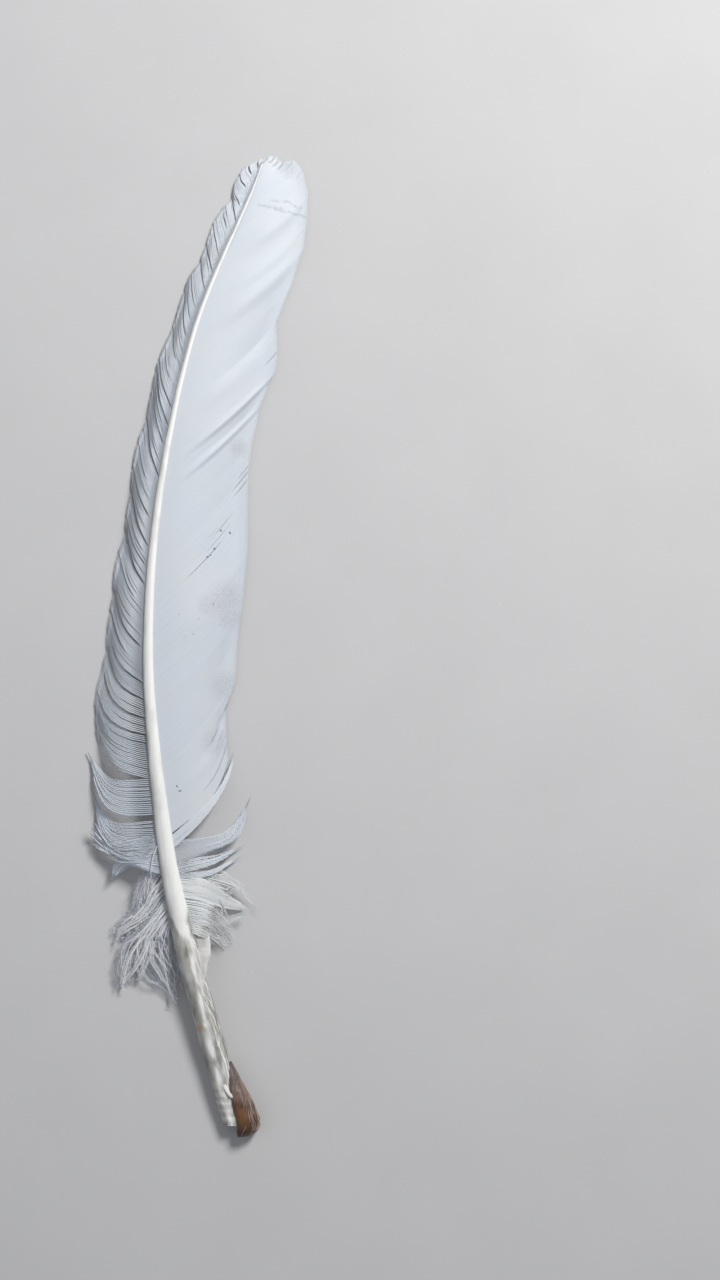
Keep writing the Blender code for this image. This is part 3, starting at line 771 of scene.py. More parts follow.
def make_vane(side, rng, material):
    """A vane of single barbs, grouped in locks between the rows."""
    vane = VANES[side]
    y = barb_places(vane, rng)
    pitch = np.gradient(y, axis=0)
    count = len(y)
    borders = np.array([row[0] for row in vane.rows])
    lock = np.clip(np.searchsorted(borders, y) - 1, 0, len(borders) - 2)
    in_lock = (y - borders[lock]) / (borders[lock + 1] - borders[lock])

    t = np.linspace(0, 1, vane.segments + 1)[None, :]
    t = t * (1 - np.abs(rng.normal(0, vane.end_spread, (count, 1))))
    aside, up = open_slits(vane.slits + fine_slits(vane, rng), y, t)
    knots = np.linspace(borders[0], borders[-1], SWAY_KNOTS)
    phase = np.interp(y, knots, np.cumsum(rng.uniform(-SWAY_DRIFT, SWAY_DRIFT, SWAY_KNOTS)))
    aside += vane.sway * np.sin(SWAY_TURN * t + phase) * np.sin(np.pi * t)
    ends = vane_plan(side, y, np.array([[0.0, 1.0]]))
    length = np.linalg.norm(ends[:, 1] - ends[:, 0], axis=-1)[:, None]
    crimp = vane.crimp * (1 - 0.8 * smoothstep(-15, 30, y))
    aside += crimp * crimped(length, t, rng)
    up *= 1 - 0.6 * smoothstep(0.75, 1.0, t)
    up += vane.bulge * np.sin(np.pi * in_lock) * smoothstep(0.15, 0.7, t)
    up += rng.normal(0, vane.uneven, (count, 1)) * smoothstep(0.0, 0.3, t)

    def surface(offset):
        plan = vane_plan(side, y + aside + offset, t)
        height = barb_height(side, y + aside + offset, t) + up
        return np.concatenate((plan, np.maximum(height, LEAST_HEIGHT)[..., None]), -1)

    half = np.interp(y, OVERLAP_CHANGE, vane.overlap) * pitch / 2
    shape = taper(t, *vane.blunt) * (1 - vane.root_gap * (1 - smoothstep(0.06, 0.26, t)))
    halves = (surface(half) - surface(-half)) / 2 * shape[..., None]
    points, faces = strips(surface(0), halves, vane.crest, BARB_BELLY)
    lock_tone = rng.normal(0, vane.lock_spread, len(borders) - 1)[lock][..., None]
    tone = 0.5 + lock_tone + rng.normal(0, vane.tone_spread, (count, 1, 1))
    tones = strip_tones(tone, t.shape[1])
    return new_piece(vane.name, points, faces, material, "feather", tones)


def lock_lines(lock, shares, t, spread, reach):
    """Lines between the two edges of a lock that stands apart, at the given shares across it."""
    _, side, tip_lift, upper, lower, tip = lock
    shares = shares[:, None]
    leaves_at, leave, arrive = (low + (up - low) * shares for low, up in zip(lower, upper))
    root, _ = barb_root(side, leaves_at)
    across = heading(side, (lower[2] + upper[2]) / 2 - 90)
    end = np.array(tip) + across * ((shares - 0.5) * spread)[..., None]
    ways = heading(side, leave), heading(side, arrive)
    plan = curve_points(root, end, *ways, t, reach)
    height = barb_height(side, (lower[0] + upper[0]) / 2 + 0 * t, t) + tip_lift * t
    return np.concatenate((plan, height[..., None]), -1)


def unit(vectors):
    return vectors / np.maximum(np.linalg.norm(vectors, axis=-1, keepdims=True), 1e-9)


def level_across(along):
    """The level direction across each direction."""
    return np.stack((-along[..., 1], along[..., 0], 0 * along[..., 0]), -1)


def flat_normal(lines):
    """The level direction across each line, at each of its points."""
    return level_across(unit(np.gradient(lines[..., :2], axis=1)))


def apart_lock(lock, rng):
    """The barbs of one lock that stands apart."""
    count, spread, shortest, bend, widest, crest, overlap, parting, reach = MAKE_UP[lock[0]]
    shares = (np.arange(count) + rng.uniform(0.35, 0.65, count)) / count
    ends = (1 - np.abs(2 * shares - 1)[:, None]) ** 0.5 * rng.uniform(0.85, 1, (count, 1))
    t = np.linspace(0, 1, LOCK_RINGS)[None, :]
    t = t * (shortest + (1 - shortest) * ends / ends.max())
    line = lock_lines(lock, shares, t, spread, reach)
    normal = flat_normal(line)
    length = np.linalg.norm(line[:, -1] - line[:, 0], axis=-1)[:, None]
    sway = rng.normal(0, bend, (count, 1)) * t**2 * np.sin(t * rng.uniform(2, 5, (count, 1)))
    sway += LOCK_CRIMP * crimped(length, t, rng)
    line += normal * sway[..., None]
    lift = rng.normal(0, LOCK_UNEVEN, (count, 1)) + LOCK_BULGE * np.sin(np.pi * shares)[:, None]
    line[..., 2] = np.maximum(line[..., 2] + lift * smoothstep(0, 0.4, t), LEAST_HEIGHT)

    near = lock_lines(lock, shares + 0.5 / count, t, spread, reach)
    near -= lock_lines(lock, shares - 0.5 / count, t, spread, reach)
    wide = np.linalg.norm(near, axis=-1) / 2 * overlap
    wide = np.clip(wide, THINNEST_BARB, widest) * taper(t, 0.85, 0.35)
    wide *= 1 - 0.30 * (1 - smoothstep(0.06, 0.3, t))
    if parting < 1:
        wide *= 1 - PARTED * smoothstep(parting, parting + 0.25, t)
    points, faces = strips(line, normal * wide[..., None], crest, BARB_BELLY)
    return points, faces, strip_tones(0.5 + rng.normal(0, 0.12, (count, 1, 1)), LOCK_RINGS)


def make_apart_locks(name, strands, rng, material):
    """The locks of a piece and the single strands among them."""
    parts = [apart_lock(lock, rng) for lock in APART_LOCKS[name]]
    points, faces, tones = joined(parts + strands)
    return new_piece(name, points, faces, material, "feather", tones)


def barbules(lines, rng, length, each, width):
    """Fine spikes on both sides of each line, as points and faces."""
    count, rings = lines.shape[:2]
    at = rng.uniform(0.10, 0.99, (count, each)) * (rings - 1)
    ring = np.minimum(at.astype(int), rings - 2)
    part = (at - ring)[..., None]
    which = np.arange(count)[:, None]
    start, stop = lines[which, ring], lines[which, ring + 1]
    foot = start + (stop - start) * part
    along = unit(stop - start)
    side = level_across(along) * rng.choice((-1.0, 1.0), (count, each, 1))
    lift = np.array((0, 0, 1.0)) * rng.normal(0, 0.35, (count, each, 1))
    away = along * rng.uniform(0.4, 1.0, (count, each, 1)) + side * 0.7 + lift
    size = length * rng.uniform(0.4, 1.1, (count, each, 1)) * (1.1 - 0.6 * at[..., None] / rings)
    end = foot + away * size
    end[..., 2] = np.maximum(end[..., 2], BARBULE_LOWEST)
    across = unit(np.cross(away, (0, 0, 1.0))) * width
    up = np.array((0, 0, 1.0)) * width
    base = np.stack((foot - across, foot + across, foot + up, end), 2)
    one = np.array([(0, 1, 3), (1, 2, 3), (2, 0, 3), (0, 2, 1)])
    starts = np.arange(count * each)[:, None, None] * 4
    return base.reshape(-1, 3), (one[None] + starts).reshape(-1, 3).tolist()


def smooth_line(marks, count):
    """A smooth line of count points through the marks."""
    marks = np.array(marks, float)
    at = np.linspace(0, len(marks) - 1, count)
    tables = [list(enumerate(column)) for column in marks.T]
    return np.stack([smooth_keyed(table, at, 1) for table in tables], -1)


def cut_short(lines, shares):
    """The lines up to a share of their length each, with as many points as before."""
    last = lines.shape[1] - 1
    stop = np.linspace(0, 1, last + 1)[None, :] * shares * last
    low = np.minimum(stop.astype(int), last - 1)
    part = (stop - low)[..., None]
    which = np.arange(len(lines))[:, None]
    return lines[which, low] * (1 - part) + lines[which, low + 1] * part


def strand_parts(kind, rng):
    """Curly strands along each line of a kind, with fine barbules."""
    lines, heights, tone, count, spreads, half_width, curl, length, each = STRAND_KINDS[kind]
    root_spread, tip_spread = spreads
    t = np.linspace(0, 1, STRAND_RINGS)[None, :]
    parts = []
    for guide in lines:
        plan = smooth_line(guide, STRAND_RINGS)[None] + np.zeros((count, 1, 1))
        layer = rng.uniform(-1, 1) * root_spread
        bundle_tone = tone + rng.normal(0, 0.22)
        fall = np.interp(t, (0, 1), heights) + layer + rng.normal(0, 0.2, (count, 1)) * root_spread
        line = np.concatenate((plan, (fall * (1 - 0.25 * t))[..., None]), -1)
        normal = flat_normal(line)
        aside = rng.uniform(-1, 1, (count, 1)) * (root_spread + (tip_spread - root_spread) * t)
        for size, low, high in ((curl, 3, 9), (curl * 0.35, 10, 24)):
            turn = rng.uniform(low, high, (count, 1)) * t + rng.uniform(0, 6.3, (count, 1))
            amount = rng.uniform(0.3, 1.0, (count, 1)) * size * smoothstep(0, 0.4, t)
            aside = aside + amount * np.sin(turn)
            line[..., 2] += 0.5 * amount * np.cos(turn)
        line += normal * aside[..., None]
        line[..., 2] = np.maximum(line[..., 2], STRAND_LOWEST)
        line = cut_short(line, rng.uniform(0.72, 1.0, (count, 1)))
        half = half_width * rng.uniform(0.6, 1.2, (count, 1)) * taper(t, 0.3, 0.35)
        halves = flat_normal(line) * half[..., None]
        points, faces = strips(line, halves, STRAND_THICKNESS, STRAND_THICKNESS)
        tones = bundle_tone + rng.normal(0, 0.3, (count, 1, 1))
        parts.append((points, faces, strip_tones(tones, STRAND_RINGS)))
        points, faces = barbules(line, rng, length, each, BARBULE_WIDTH)
        parts.append((points, faces, bundle_tone))
    return parts


def make_down(rng, material):
    """Curly strands with fine barbules: painted dark below as shade, stronger and paler on top as
    painted light, and straight tips.
    """
    parts = []
    for kind in ("down", "down_top", "down_tip"):
        parts += strand_parts(kind, rng)
    points, faces, tones = joined(parts)
    return new_piece("down", points, faces, material, "feather", tones)


def shaft_section(y, sides):
    """The shaft's section at y as a ring of points, with a flat seat where it meets the table."""
    x, width, height, middle = shaft_at(y)
    shaped = smoothstep(0, 1, (y - QUILL_TOP) / SQUARED_OVER)
    degrees = np.linspace(-90, 270, sides, endpoint=False)
    profile = np.interp(degrees, *np.array(SHAFT_PROFILE, float).T)
    reach = 1 + (profile - 1) * shaped
    across, up = np.cos(np.radians(degrees)) * reach, np.sin(np.radians(degrees)) * reach
    z = np.maximum(middle + up * height / 2, 0)
    return np.stack((x + across * width / 2, np.full(sides, y), z), -1)


def roughened(ring, y):
    """A ring of the shaft with the dents of the quill and the ridges across its end."""
    quill = 1 - smoothstep(*QUILL_FADES, y)
    ridged = RIDGE_HEIGHT * smoothstep(-130, -140, y)
    middle = ring.mean(0)
    rough = []
    for x, _, z in ring:
        dents = noise.noise(Vector((x * 0.45, y * 0.07, z * 0.45))) * DENT_DEPTH
        wander = noise.noise(Vector((x * 0.3, y * 0.3, 5))) * 3
        rough.append(dents * quill + ridged * math.sin(y * RIDGE_TURN + wander))
    return ring + (ring - middle) * np.array(rough)[:, None]


def shaft_tones(ring, y):
    """The tones of a ring of the shaft: 1 where it is white, and little where it is horn, with painted
    shade.
    """
    x, width, _, _ = shaft_at(y)
    u = (ring[:, 0] - x) / (width / 2)
    cloud = np.array([noise.fractal(Vector((v * 1.6, y * 0.16, 1)), 0.8, 2, 4) for v in u])
    ragged = u + 0.25 * cloud
    left, right = keyed(WEDGE_LEFT, y, 1), keyed(WEDGE_RIGHT, y, 1)
    wedge = smoothstep(left - 0.3, left + 0.3, ragged)
    wedge = wedge * (1 - smoothstep(right - 0.25, right + 0.25, ragged))
    # The streak: partly white pith and partly a painted highlight.
    off_streak = (u - keyed(STREAK, y, 1)) / STREAK_WIDTH
    streak = np.exp(-(off_streak**2)) * smoothstep(-88, -98, y)
    horn = HORN_TONE + streak * (0.60 + 1.2 * cloud)
    horn += (0.10 + 0.14 * math.sin(y * RIDGE_TURN)) * smoothstep(-132, -140, y)
    # Painted shade: the white is darker on the left side of the shaft, and darkest along its left edge.
    shaded = 1 - 0.22 * (1 - smoothstep(-1.0, -0.1, u))
    shaded = shaded - 0.45 * (1 - smoothstep(-0.97, -0.70, u))
    return np.clip(wedge * shaded + (1 - wedge) * horn, 0, 1)


def hollow_rings(cut):
    """The rings of the quill's open end, from the cut inwards."""
    middle = cut.mean(0)
    rings = [middle + (cut - middle) * HOLLOW_SHARE]
    for depth in (0.33, 0.66, 1.0):
        deeper = shaft_section(SHAFT[0][0] + HOLLOW_DEPTH * depth, SHAFT_SIDES)
        centre = deeper.mean(0)
        rings.append(centre + (deeper - centre) * HOLLOW_SHARE * (1 - 0.2 * depth))
    return rings


def make_shaft(material):
    """The shaft and the quill, which is cut open at its end."""
    rings, tones = [], []
    for y in np.linspace(SHAFT[0][0], SHAFT[-1][0], SHAFT_RINGS):
        rings.append(roughened(shaft_section(y, SHAFT_SIDES), y))
        tones.append(shaft_tones(rings[-1], y))
    cut = rings[0]
    for k, point in enumerate(cut):
        point[1] += CUT_RAGGED * noise.noise(Vector((k * 0.7, 3.1, 0)))
    inner = hollow_rings(cut)
    points = np.concatenate(inner[::-1] + rings)
    points[:, 2] = np.maximum(points[:, 2], 0)
    count = len(inner) + len(rings)
    faces = tube_faces(count, SHAFT_SIDES) + end_faces(count, SHAFT_SIDES)
    inside = np.zeros(len(points))
    inside[: len(inner) * SHAFT_SIDES] = 1
    tones = np.concatenate([np.zeros(len(inner) * SHAFT_SIDES)] + tones)
    return new_piece("shaft", points, faces, material, "feather", tones, False, inside=inside)


def quill_point(y, degrees, off):
    """A point off the quill's surface, at an angle from its right side upwards."""
    x, width, height, middle = shaft_at(y)
    angle = np.radians(degrees)
    z = np.maximum(middle + np.sin(angle) * (height / 2 + off), 0.05)
    return np.stack((x + np.cos(angle) * (width / 2 + off), y + 0 * z, z), -1)


def film_shreds(rng):
    """Thin shreds of dry film that run aslant over the right side of the quill."""
    start = rng.uniform(-136, -84, (FILM_SHREDS, 1))
    angle = rng.uniform(-15, 80, (FILM_SHREDS, 1)) - 12 * smoothstep(-100, -86, start)
    length = rng.uniform(3, 12, (FILM_SHREDS, 1))
    t = np.linspace(0, 1, SHRED_RINGS)[None, :]
    y = np.maximum(start - length * t, SHRED_END)
    degrees = angle - rng.uniform(5, 45, (FILM_SHREDS, 1)) * t + 5 * np.sin(6 * t + angle)
    off = 0.05 + rng.uniform(0, 0.10, (FILM_SHREDS, 1)) * np.sin(np.pi * t)
    line = quill_point(y, degrees, off)
    half = rng.uniform(0.06, 0.25, (FILM_SHREDS, 1)) * np.sin(np.pi * (0.1 + 0.8 * t))
    across = unit(quill_point(y, degrees + 3, off) - quill_point(y, degrees - 3, off))
    points, faces = strips(line, across * half[..., None], 0.04, 0.06)
    tones = rng.uniform(0.45, 1.4, (FILM_SHREDS, 1, 1))
    return points, faces, strip_tones(tones, SHRED_RINGS)


def sheath():
    """The dry sheath, a creased sheet that leaves the quill near its top and falls outwards."""
    rows, tones = [], []
    for y in np.linspace(SHEATH[-1][0], SHEATH[0][0], SHEATH_RINGS):
        x, width, height, middle = shaft_at(y)
        edge = 0.62 + 0.06 * noise.fractal(Vector((0, y * 0.3, 8)), 0.8, 2, 4)
        near, far = x + edge * width / 2, keyed(SHEATH, y, 1)
        sunk = SHEATH_SUNK * smoothstep(-102, -86, y)
        start = middle + math.sqrt(1 - edge**2) * height / 2 - sunk
        row, row_tones = [], []
        for share in np.linspace(0, 1, SHEATH_STEPS + 1):
            place = Vector((share * 1.6 + y * 0.08, y * 0.16, 4))
            crease = noise.fractal(place, 0.8, 2, 5)
            high = start + 0.02 - SHEATH_FALL * share**1.5 + 0.14 * crease * share
            row.append((near + (far - near) * share, y, high))
            row_tones.append(0.34 + 0.3 * crease + 0.5 * share**5)
        rows.append(row)
        tones.append(row_tones + row_tones[::-1])
    top = np.array(rows)
    below = top[:, ::-1] - np.array((0, 0, SHEATH_THICKNESS))
    sheet = np.concatenate((top, below), 1)
    around = sheet.shape[1]
    faces = tube_faces(SHEATH_RINGS, around) + end_faces(SHEATH_RINGS, around)
    return sheet.reshape(-1, 3), faces, np.array(tones).ravel()


def white_flake():
    """The white crease near the quill's end, broad at its upper end and thin at the other."""
    line = smooth_line(QUILL_CREASE, CREASE_RINGS)[None]
    shape = np.sin(np.pi * np.linspace(0.25, 1.0, CREASE_RINGS))
    half = CREASE_WIDTH * (shape * np.linspace(1, 0.25, CREASE_RINGS) + 0.06)
    points, faces = strips(line, flat_normal(line) * half[None, :, None], 0.22, 0.3)
    return points, faces, 1.0


def make_film(rng, material):
    """What stands off the quill's surface: the dry film, the sheath and the white crease."""
    points, faces, tones = joined([film_shreds(rng), sheath(), white_flake()])
    return new_piece("quill_film", points, faces, material, "feather", tones, False)


def skin_point(y, share, outer):
    """A point of the dried skin at y, at a share of the way around the quill."""
    thickness, start, stop = (smooth_keyed(SKIN, y, column) for column in (1, 2, 3))
    x, width, height, middle = shaft_at(y)
    if y < SHAFT[0][0]:
        closing = (SHAFT[0][0] - y) / (SHAFT[0][0] - SKIN[-1][0])
        width, height = width * (1 - 0.4 * closing), height * (1 - 0.4 * closing)
        thickness = thickness * (1 - 0.25 * closing**3)
    angle = math.radians(start + (stop - start) * share)
    off = SKIN_GAP
    if outer:
        folds = noise.noise(Vector((share * 9, y * 0.10, 2))) * 0.10
        folds += noise.fractal(Vector((share * 5, y * 0.35, 7)), 0.7, 2, 4) * 0.07
        off += thickness * (0.22 + 0.78 * math.sin(math.pi * share) ** 0.8) * (0.97 + folds)
    z = middle + math.sin(angle) * (height / 2 + off)
    return x + math.cos(angle) * (width / 2 + off), y, max(0.0, z)


def skin_body():
    """The skin itself, as a closed band around the right side of the quill."""
    rings, tones = [], []
    shares = np.linspace(0, 1, SKIN_STEPS + 1)
    for y in np.linspace(SKIN[0][0], SKIN[-1][0], SKIN_RINGS):
        ring = [skin_point(y, share, True) for share in shares]
        ring += [skin_point(y, share, False) for share in shares[::-1]]
        rings.append(ring)
        dark = smoothstep(0.45, 0.75, shares) * smoothstep(-137, -141, y)
        tones.append(np.concatenate((0.66 - 0.75 * dark, 0 * shares + 0.3)))
    around = len(rings[0])
    faces = tube_faces(SKIN_RINGS, around) + end_faces(SKIN_RINGS, around)
    return np.array(rings).reshape(-1, 3), faces, np.concatenate(tones)


def skin_hairs(rng):
    """Hair-like fibres that lie along the skin."""
    lines = []
    for _ in range(SKIN_HAIRS):
        top = rng.uniform(-146, -130)
        stretch = rng.uniform(2, 9)
        share = rng.beta(1.6, 1.6) * 0.9
        turn = rng.normal(0.03, 0.05)
        line = []
        for t in np.linspace(0, 1, SKIN_HAIR_RINGS):
            y = max(top - stretch * t, SKIN_HAIR_END)
            x, y, z = skin_point(y, min(0.97, max(0.03, share + turn * t)), True)
            line.append((x + 0.05, y, z + 0.06))
        lines.append(line)
    lines = np.array(lines)
    shape = np.sin(np.pi * np.linspace(0.1, 0.9, SKIN_HAIR_RINGS))[None]
    half = rng.uniform(0.03, 0.09, (SKIN_HAIRS, 1)) * shape
    points, faces = strips(lines, flat_normal(lines) * half[..., None], 0.05, 0.05)
    return points, faces, 1.0


def make_skin(rng, material):
    """The dried skin around the right side of the quill's end."""
    points, faces, tones = joined([skin_body(), skin_hairs(rng)])
    return new_piece("skin_scrap", points, faces, material, "dried_skin", tones, False)


def connect(tree, socket, value):
    """Links a socket to another one, or sets it to a value."""
    if isinstance(value, bpy.types.NodeSocket):
        tree.links.new(value, socket)
    elif socket.type == "RGBA":
        socket.default_value = (*value, 1)
    else:
        socket.default_value = value


def add_node(tree, kind, inputs, **settings):
    """A node with its settings, and with each input by name or number."""
    made = tree.nodes.new(kind)
    for name, value in settings.items():
        setattr(made, name, value)
    for name, value in inputs.items():
        connect(tree, made.inputs[name], value)
    return made


def mixed(tree, factor, first, second):
    """A colour between two, each of them a colour or a socket."""
    inputs = {0: factor, 6: first, 7: second}
    return add_node(tree, "ShaderNodeMix", inputs, data_type="RGBA").outputs[2]


def ranged(tree, value, low, high, to_low=0.0, to_high=1.0):
    """A value on a straight line from to_low at low to to_high at high, and level beyond."""
    inputs = {"Value": value, "From Min": low, "From Max": high, "To Min": to_low, "To Max": to_high}
    return add_node(tree, "ShaderNodeMapRange", inputs).outputs["Result"]


def maths(tree, operation, first, second):
    return add_node(tree, "ShaderNodeMath", {0: first, 1: second}, operation=operation).outputs[0]


def times(tree, first, second):
    return maths(tree, "MULTIPLY", first, second)


def vector_maths(tree, operation, first, second, output="Vector"):
    inputs = {0: first, 1: second}
    made = add_node(tree, "ShaderNodeVectorMath", inputs, operation=operation)
    return made.outputs[output]


def object_place(tree):
    return add_node(tree, "ShaderNodeTexCoord", {}).outputs["Object"]


def flat_place(tree):
    """The place on the object without its height."""
    return vector_maths(tree, "MULTIPLY", object_place(tree), (1, 1, 0))


def place_along(tree):
    """y on the object, in metres."""
    return add_node(tree, "ShaderNodeSeparateXYZ", {"Vector": object_place(tree)}).outputs["Y"]


def grain(tree, stretch, scale, detail=4.0):
    """Noise on the object's own coordinates, stretched along each axis."""
    place = {"Vector": object_place(tree), "Scale": stretch}
    mapping = add_node(tree, "ShaderNodeMapping", place)
    inputs = {"Vector": mapping.outputs["Vector"], "Scale": scale, "Detail": detail}
    return add_node(tree, "ShaderNodeTexNoise", inputs).outputs["Fac"]


def tone_of(tree, name="tone"):
    return add_node(tree, "ShaderNodeAttribute", {}, attribute_name=name).outputs["Fac"]


def new_material(name, roughness, specular):
    material = bpy.data.materials.new(name)
    material.use_nodes = True
    shader = material.node_tree.nodes["Principled BSDF"]
    shader.inputs["Roughness"].default_value = roughness
    shader.inputs["Specular IOR Level"].default_value = specular
    return material, material.node_tree, shader


def add_bump(tree, shader, height, strength, distance):
    inputs = {"Height": height, "Strength": strength, "Distance": distance * MM}
    bump = add_node(tree, "ShaderNodeBump", inputs)
    connect(tree, shader.inputs["Normal"], bump.outputs["Normal"])


def spot(tree, flat, x, y, radius):
    """1 at a place on the feather, and 0 from the radius outwards."""
    away = vector_maths(tree, "DISTANCE", flat, (x * MM, y * MM, 0), "Value")
    return ranged(tree, away, 0.4 * radius * MM, radius * MM, 1.0, 0.0)


def spots(tree, flat, places):
    """1 at several places."""
    made = 0.0
    for place in places:
        made = maths(tree, "MAXIMUM", made, spot(tree, flat, *place))
    return made


def stroke(tree, flat, start, end, width):
    """1 on a straight line between two places, and 0 from the width outwards."""
    a, b = Vector((*start, 0)) * MM, Vector((*end, 0)) * MM
    reach = b - a
    offset = vector_maths(tree, "SUBTRACT", flat, tuple(a))
    along = vector_maths(tree, "DOT_PRODUCT", offset, tuple(reach / reach.length_squared), "Value")
    along = ranged(tree, along, 0.0, 1.0)
    nearest = vector_maths(tree, "MULTIPLY", tuple(reach), along)
    away = vector_maths(tree, "DISTANCE", offset, nearest, "Value")
    return ranged(tree, away, 0.3 * width * MM, width * MM, 1.0, 0.0)


def marked_vane(tree, colour):
    """A vane's colour, with painted light that makes it paler towards the tip, and with its smudges,
    fault bars and specks.
    """
    flat = flat_place(tree)
    # Painted light: paler towards the tip.
    paler = ranged(tree, place_along(tree), 0.03, 0.15, 0.0, 0.35)
    colour = mixed(tree, paler, colour, PAINTED_TIP_LIGHT)
    dust = ranged(tree, grain(tree, (1, 1, 1), 1900.0, 6.0), 0.30, 0.70)
    smudged = times(tree, spots(tree, flat, SMUDGES), dust)
    colour = mixed(tree, times(tree, smudged, 0.55), colour, SMUDGE_GREY)

    wander = ranged(tree, grain(tree, (1, 1, 1), 420.0, 3.0), 0.3, 0.7, -0.6 * MM, 0.6 * MM)
    shift = add_node(tree, "ShaderNodeCombineXYZ", {"Y": wander}).outputs["Vector"]
    bent = vector_maths(tree, "ADD", flat, shift)
    barred = 0.0
    for start, end, width in FAULT_BARS:
        barred = maths(tree, "MAXIMUM", barred, stroke(tree, bent, start, end, width))
    broken = ranged(tree, grain(tree, (1, 1, 1), 800.0), 0.35, 0.6)
    barred = times(tree, barred, broken)
    colour = mixed(tree, times(tree, barred, 0.5), colour, BAR_GREY)
    for places, strength in ((SPECKS, 0.85), (FAINT_SPECKS, 0.45)):
        specked = times(tree, spots(tree, bent, places), strength)
        colour = mixed(tree, specked, colour, SPECK_BLACK)
    return colour


def barb_material(name):
    """White barbs with a tone of their own, and on the vanes the marks that they bear."""
    shaded, lit, clouded, marked = BARB_COLOURS[name]
    material, tree, shader = new_material(name, 0.6, 0.35)
    colour = mixed(tree, tone_of(tree), shaded, lit)
    soft = ranged(tree, grain(tree, (1, 1, 1), 70.0), 0.35, 0.75)
    colour = mixed(tree, soft, colour, clouded)
    if marked:
        colour = marked_vane(tree, colour)
    connect(tree, shader.inputs["Base Color"], colour)
    fine = grain(tree, (1, 0.4, 1), 3000.0)
    add_bump(tree, shader, fine, 0.25, 0.1)
    connect(tree, shader.inputs["Roughness"], ranged(tree, fine, 0.3, 0.7, 0.5, 0.68))
    return material


def shaft_material():
    """Ivory on the shaft with painted shade on its left, and clouded grey horn with a white streak on
    the quill.
    """
    material, tree, shader = new_material("shaft_keratin", 0.35, 0.5)
    streaks = grain(tree, (1, 0.10, 1), 1100.0, 6.0)
    clouds = grain(tree, (1, 0.35, 1), 330.0, 5.0)
    horn = mixed(tree, ranged(tree, clouds, 0.38, 0.62), *HORN_COLOURS)
    white = mixed(tree, ranged(tree, streaks, 0.3, 0.7), *SHAFT_COLOURS)
    # The tone brings in the painted shade on the shaft's left side and the quill's streak, which is
    # partly a painted highlight.
    uneven = maths(tree, "ADD", tone_of(tree), ranged(tree, clouds, 0.3, 0.7, -0.14, 0.24))
    colour = mixed(tree, uneven, horn, white)
    stained = times(tree, spot(tree, flat_place(tree), *STAIN), 0.5)
    colour = mixed(tree, stained, colour, RUST)
    fringe = ranged(tree, place_along(tree), -0.1462, -0.1450, 0.8, 0.0)
    fringe = times(tree, fringe, ranged(tree, streaks, 0.4, 0.55))
    colour = mixed(tree, fringe, colour, CUT_BROWN)
    colour = mixed(tree, tone_of(tree, "inside"), colour, HOLLOW_BROWN)
    connect(tree, shader.inputs["Base Color"], colour)
    connect(tree, shader.inputs["Roughness"], ranged(tree, streaks, 0.3, 0.7, 0.42, 0.28))
    add_bump(tree, shader, streaks, 0.3, 0.2)
    return material


def film_material():
    """Pale dry film, from grey to white by its tone."""
    material, tree, shader = new_material("quill_film_dry", 0.35, 0.5)
    colour = mixed(tree, tone_of(tree), *FILM_COLOURS)
    fine = grain(tree, (1, 0.3, 1), 1500.0)
    colour = mixed(tree, ranged(tree, fine, 0.4, 0.7, 0.0, 0.3), colour, FILM_GRAIN)
    connect(tree, shader.inputs["Base Color"], colour)
    connect(tree, shader.inputs["Roughness"], ranged(tree, fine, 0.3, 0.7, 0.3, 0.5))
    add_bump(tree, shader, fine, 0.4, 0.1)
    return material


def skin_material():
    """Blotched brown skin, with a warm patch, a dry upper end and pale fibres."""
    material, tree, shader = new_material("dried_skin_brown", 0.5, 0.4)
    patches = grain(tree, (1, 1, 1), 260.0, 5.0)
    lines = grain(tree, (1, 0.12, 1), 1500.0, 4.0)
    blotched = maths(tree, "ADD", tone_of(tree), ranged(tree, patches, 0.35, 0.65, -0.30, 0.30))
    colour = mixed(tree, blotched, *SKIN_COLOURS)
    warm = times(tree, spot(tree, flat_place(tree), *WARM_PATCH), 0.4)
    colour = mixed(tree, warm, colour, SKIN_WARM)
    upper = ranged(tree, place_along(tree), -0.1385, -0.1300, 0.0, 0.9)
    colour = mixed(tree, upper, colour, SKIN_DRY)
    pale = times(tree, ranged(tree, lines, 0.55, 0.7), tone_of(tree))
    colour = mixed(tree, times(tree, pale, 0.6), colour, SKIN_FIBRE)
    hair = ranged(tree, tone_of(tree), 0.9, 1.0)
    colour = mixed(tree, hair, colour, SKIN_HAIR)
    connect(tree, shader.inputs["Base Color"], colour)
    connect(tree, shader.inputs["Roughness"], ranged(tree, patches, 0.3, 0.7, 0.38, 0.6))
    add_bump(tree, shader, lines, 0.6, 0.3)
    return material


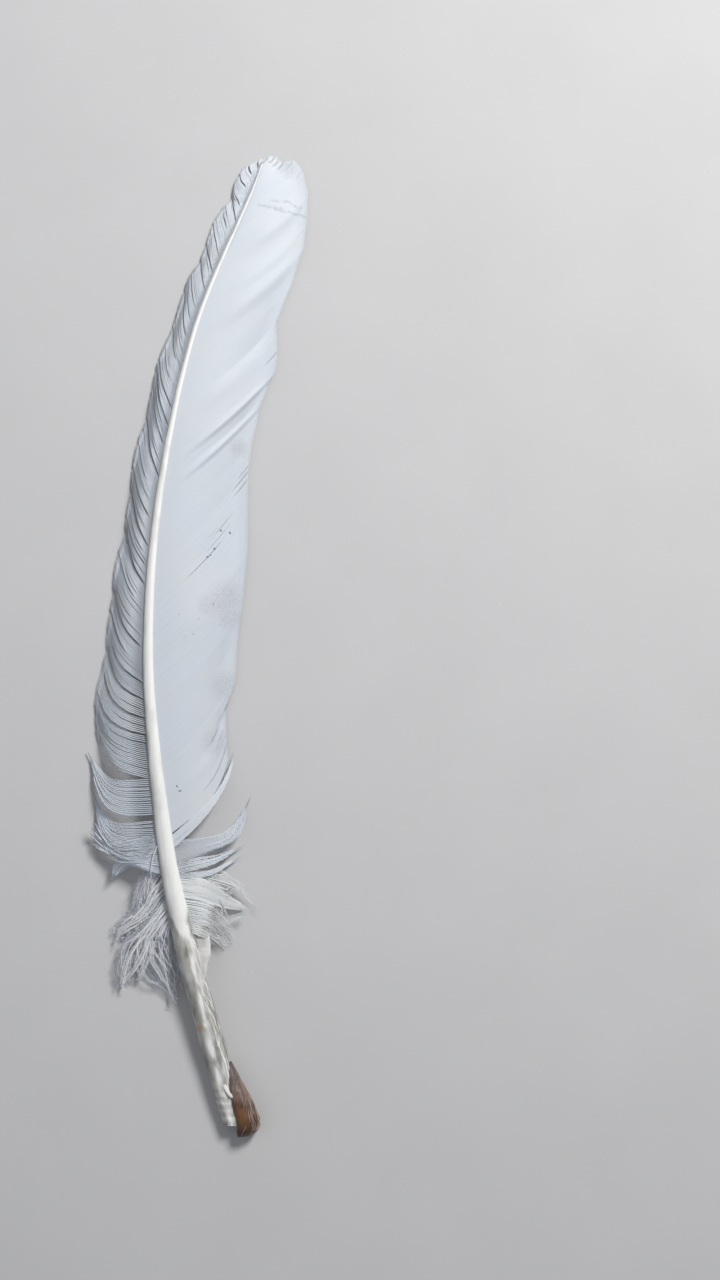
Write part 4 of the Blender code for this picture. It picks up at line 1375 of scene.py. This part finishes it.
def make_floor():
    material, tree, shader = new_material("pale_table", 0.8, 0.2)
    shade = ranged(tree, grain(tree, (1, 1, 1), 30.0), 0.3, 0.7)
    connect(tree, shader.inputs["Base Color"], mixed(tree, shade, *TABLE_COLOURS))
    bpy.ops.mesh.primitive_plane_add(size=6, location=(0, 0, -0.1 * MM))
    floor = bpy.context.object
    floor.name = "floor"
    floor.data.materials.append(material)


def make_light():
    """The lamps, which point at the feather, and an even pale sky."""
    for name, place, size, power, colour in LAMPS:
        light = bpy.data.lights.new(name, "AREA")
        light.size = size
        light.energy = power
        light.color = colour
        lamp = bpy.data.objects.new(name, light)
        lamp.location = place
        lamp.rotation_euler = (-Vector(place)).to_track_quat("-Z", "Y").to_euler()
        bpy.context.scene.collection.objects.link(lamp)
    world = bpy.data.worlds.new("studio")
    world.use_nodes = True
    background = world.node_tree.nodes["Background"]
    background.inputs["Color"].default_value = (*SKY_COLOUR, 1)
    background.inputs["Strength"].default_value = SKY_STRENGTH
    bpy.context.scene.world = world
    bpy.context.scene.view_settings.view_transform = "Standard"


def make_camera():
    """The camera looks straight down."""
    camera = bpy.data.cameras.new("camera")
    camera.lens = LENS
    camera.sensor_width = SENSOR
    camera.clip_start = 0.01
    camera.clip_end = 20
    holder = bpy.data.objects.new("camera", camera)
    distance = VIEW_HEIGHT * LENS / SENSOR
    x, y = VIEW_CENTRE
    holder.location = (x * MM, y * MM, (distance + VIEW_LEVEL) * MM)
    bpy.context.scene.collection.objects.link(holder)
    bpy.context.scene.camera = holder


def main():
    rng = np.random.default_rng(SEED)
    white, webby, downy = (barb_material(name) for name in BARB_COLOURS)
    make_vane(INNER, rng, white)
    make_vane(OUTER, rng, white)
    make_apart_locks("inner_locks", [], rng, white)
    outer_strands = strand_parts("arch", rng) + strand_parts("frayed", rng)
    make_apart_locks("outer_locks", outer_strands, rng, white)
    make_apart_locks("web", strand_parts("web", rng), rng, webby)
    make_down(rng, downy)
    make_shaft(shaft_material())
    make_film(rng, film_material())
    make_skin(rng, skin_material())
    make_floor()
    make_light()
    make_camera()


main()
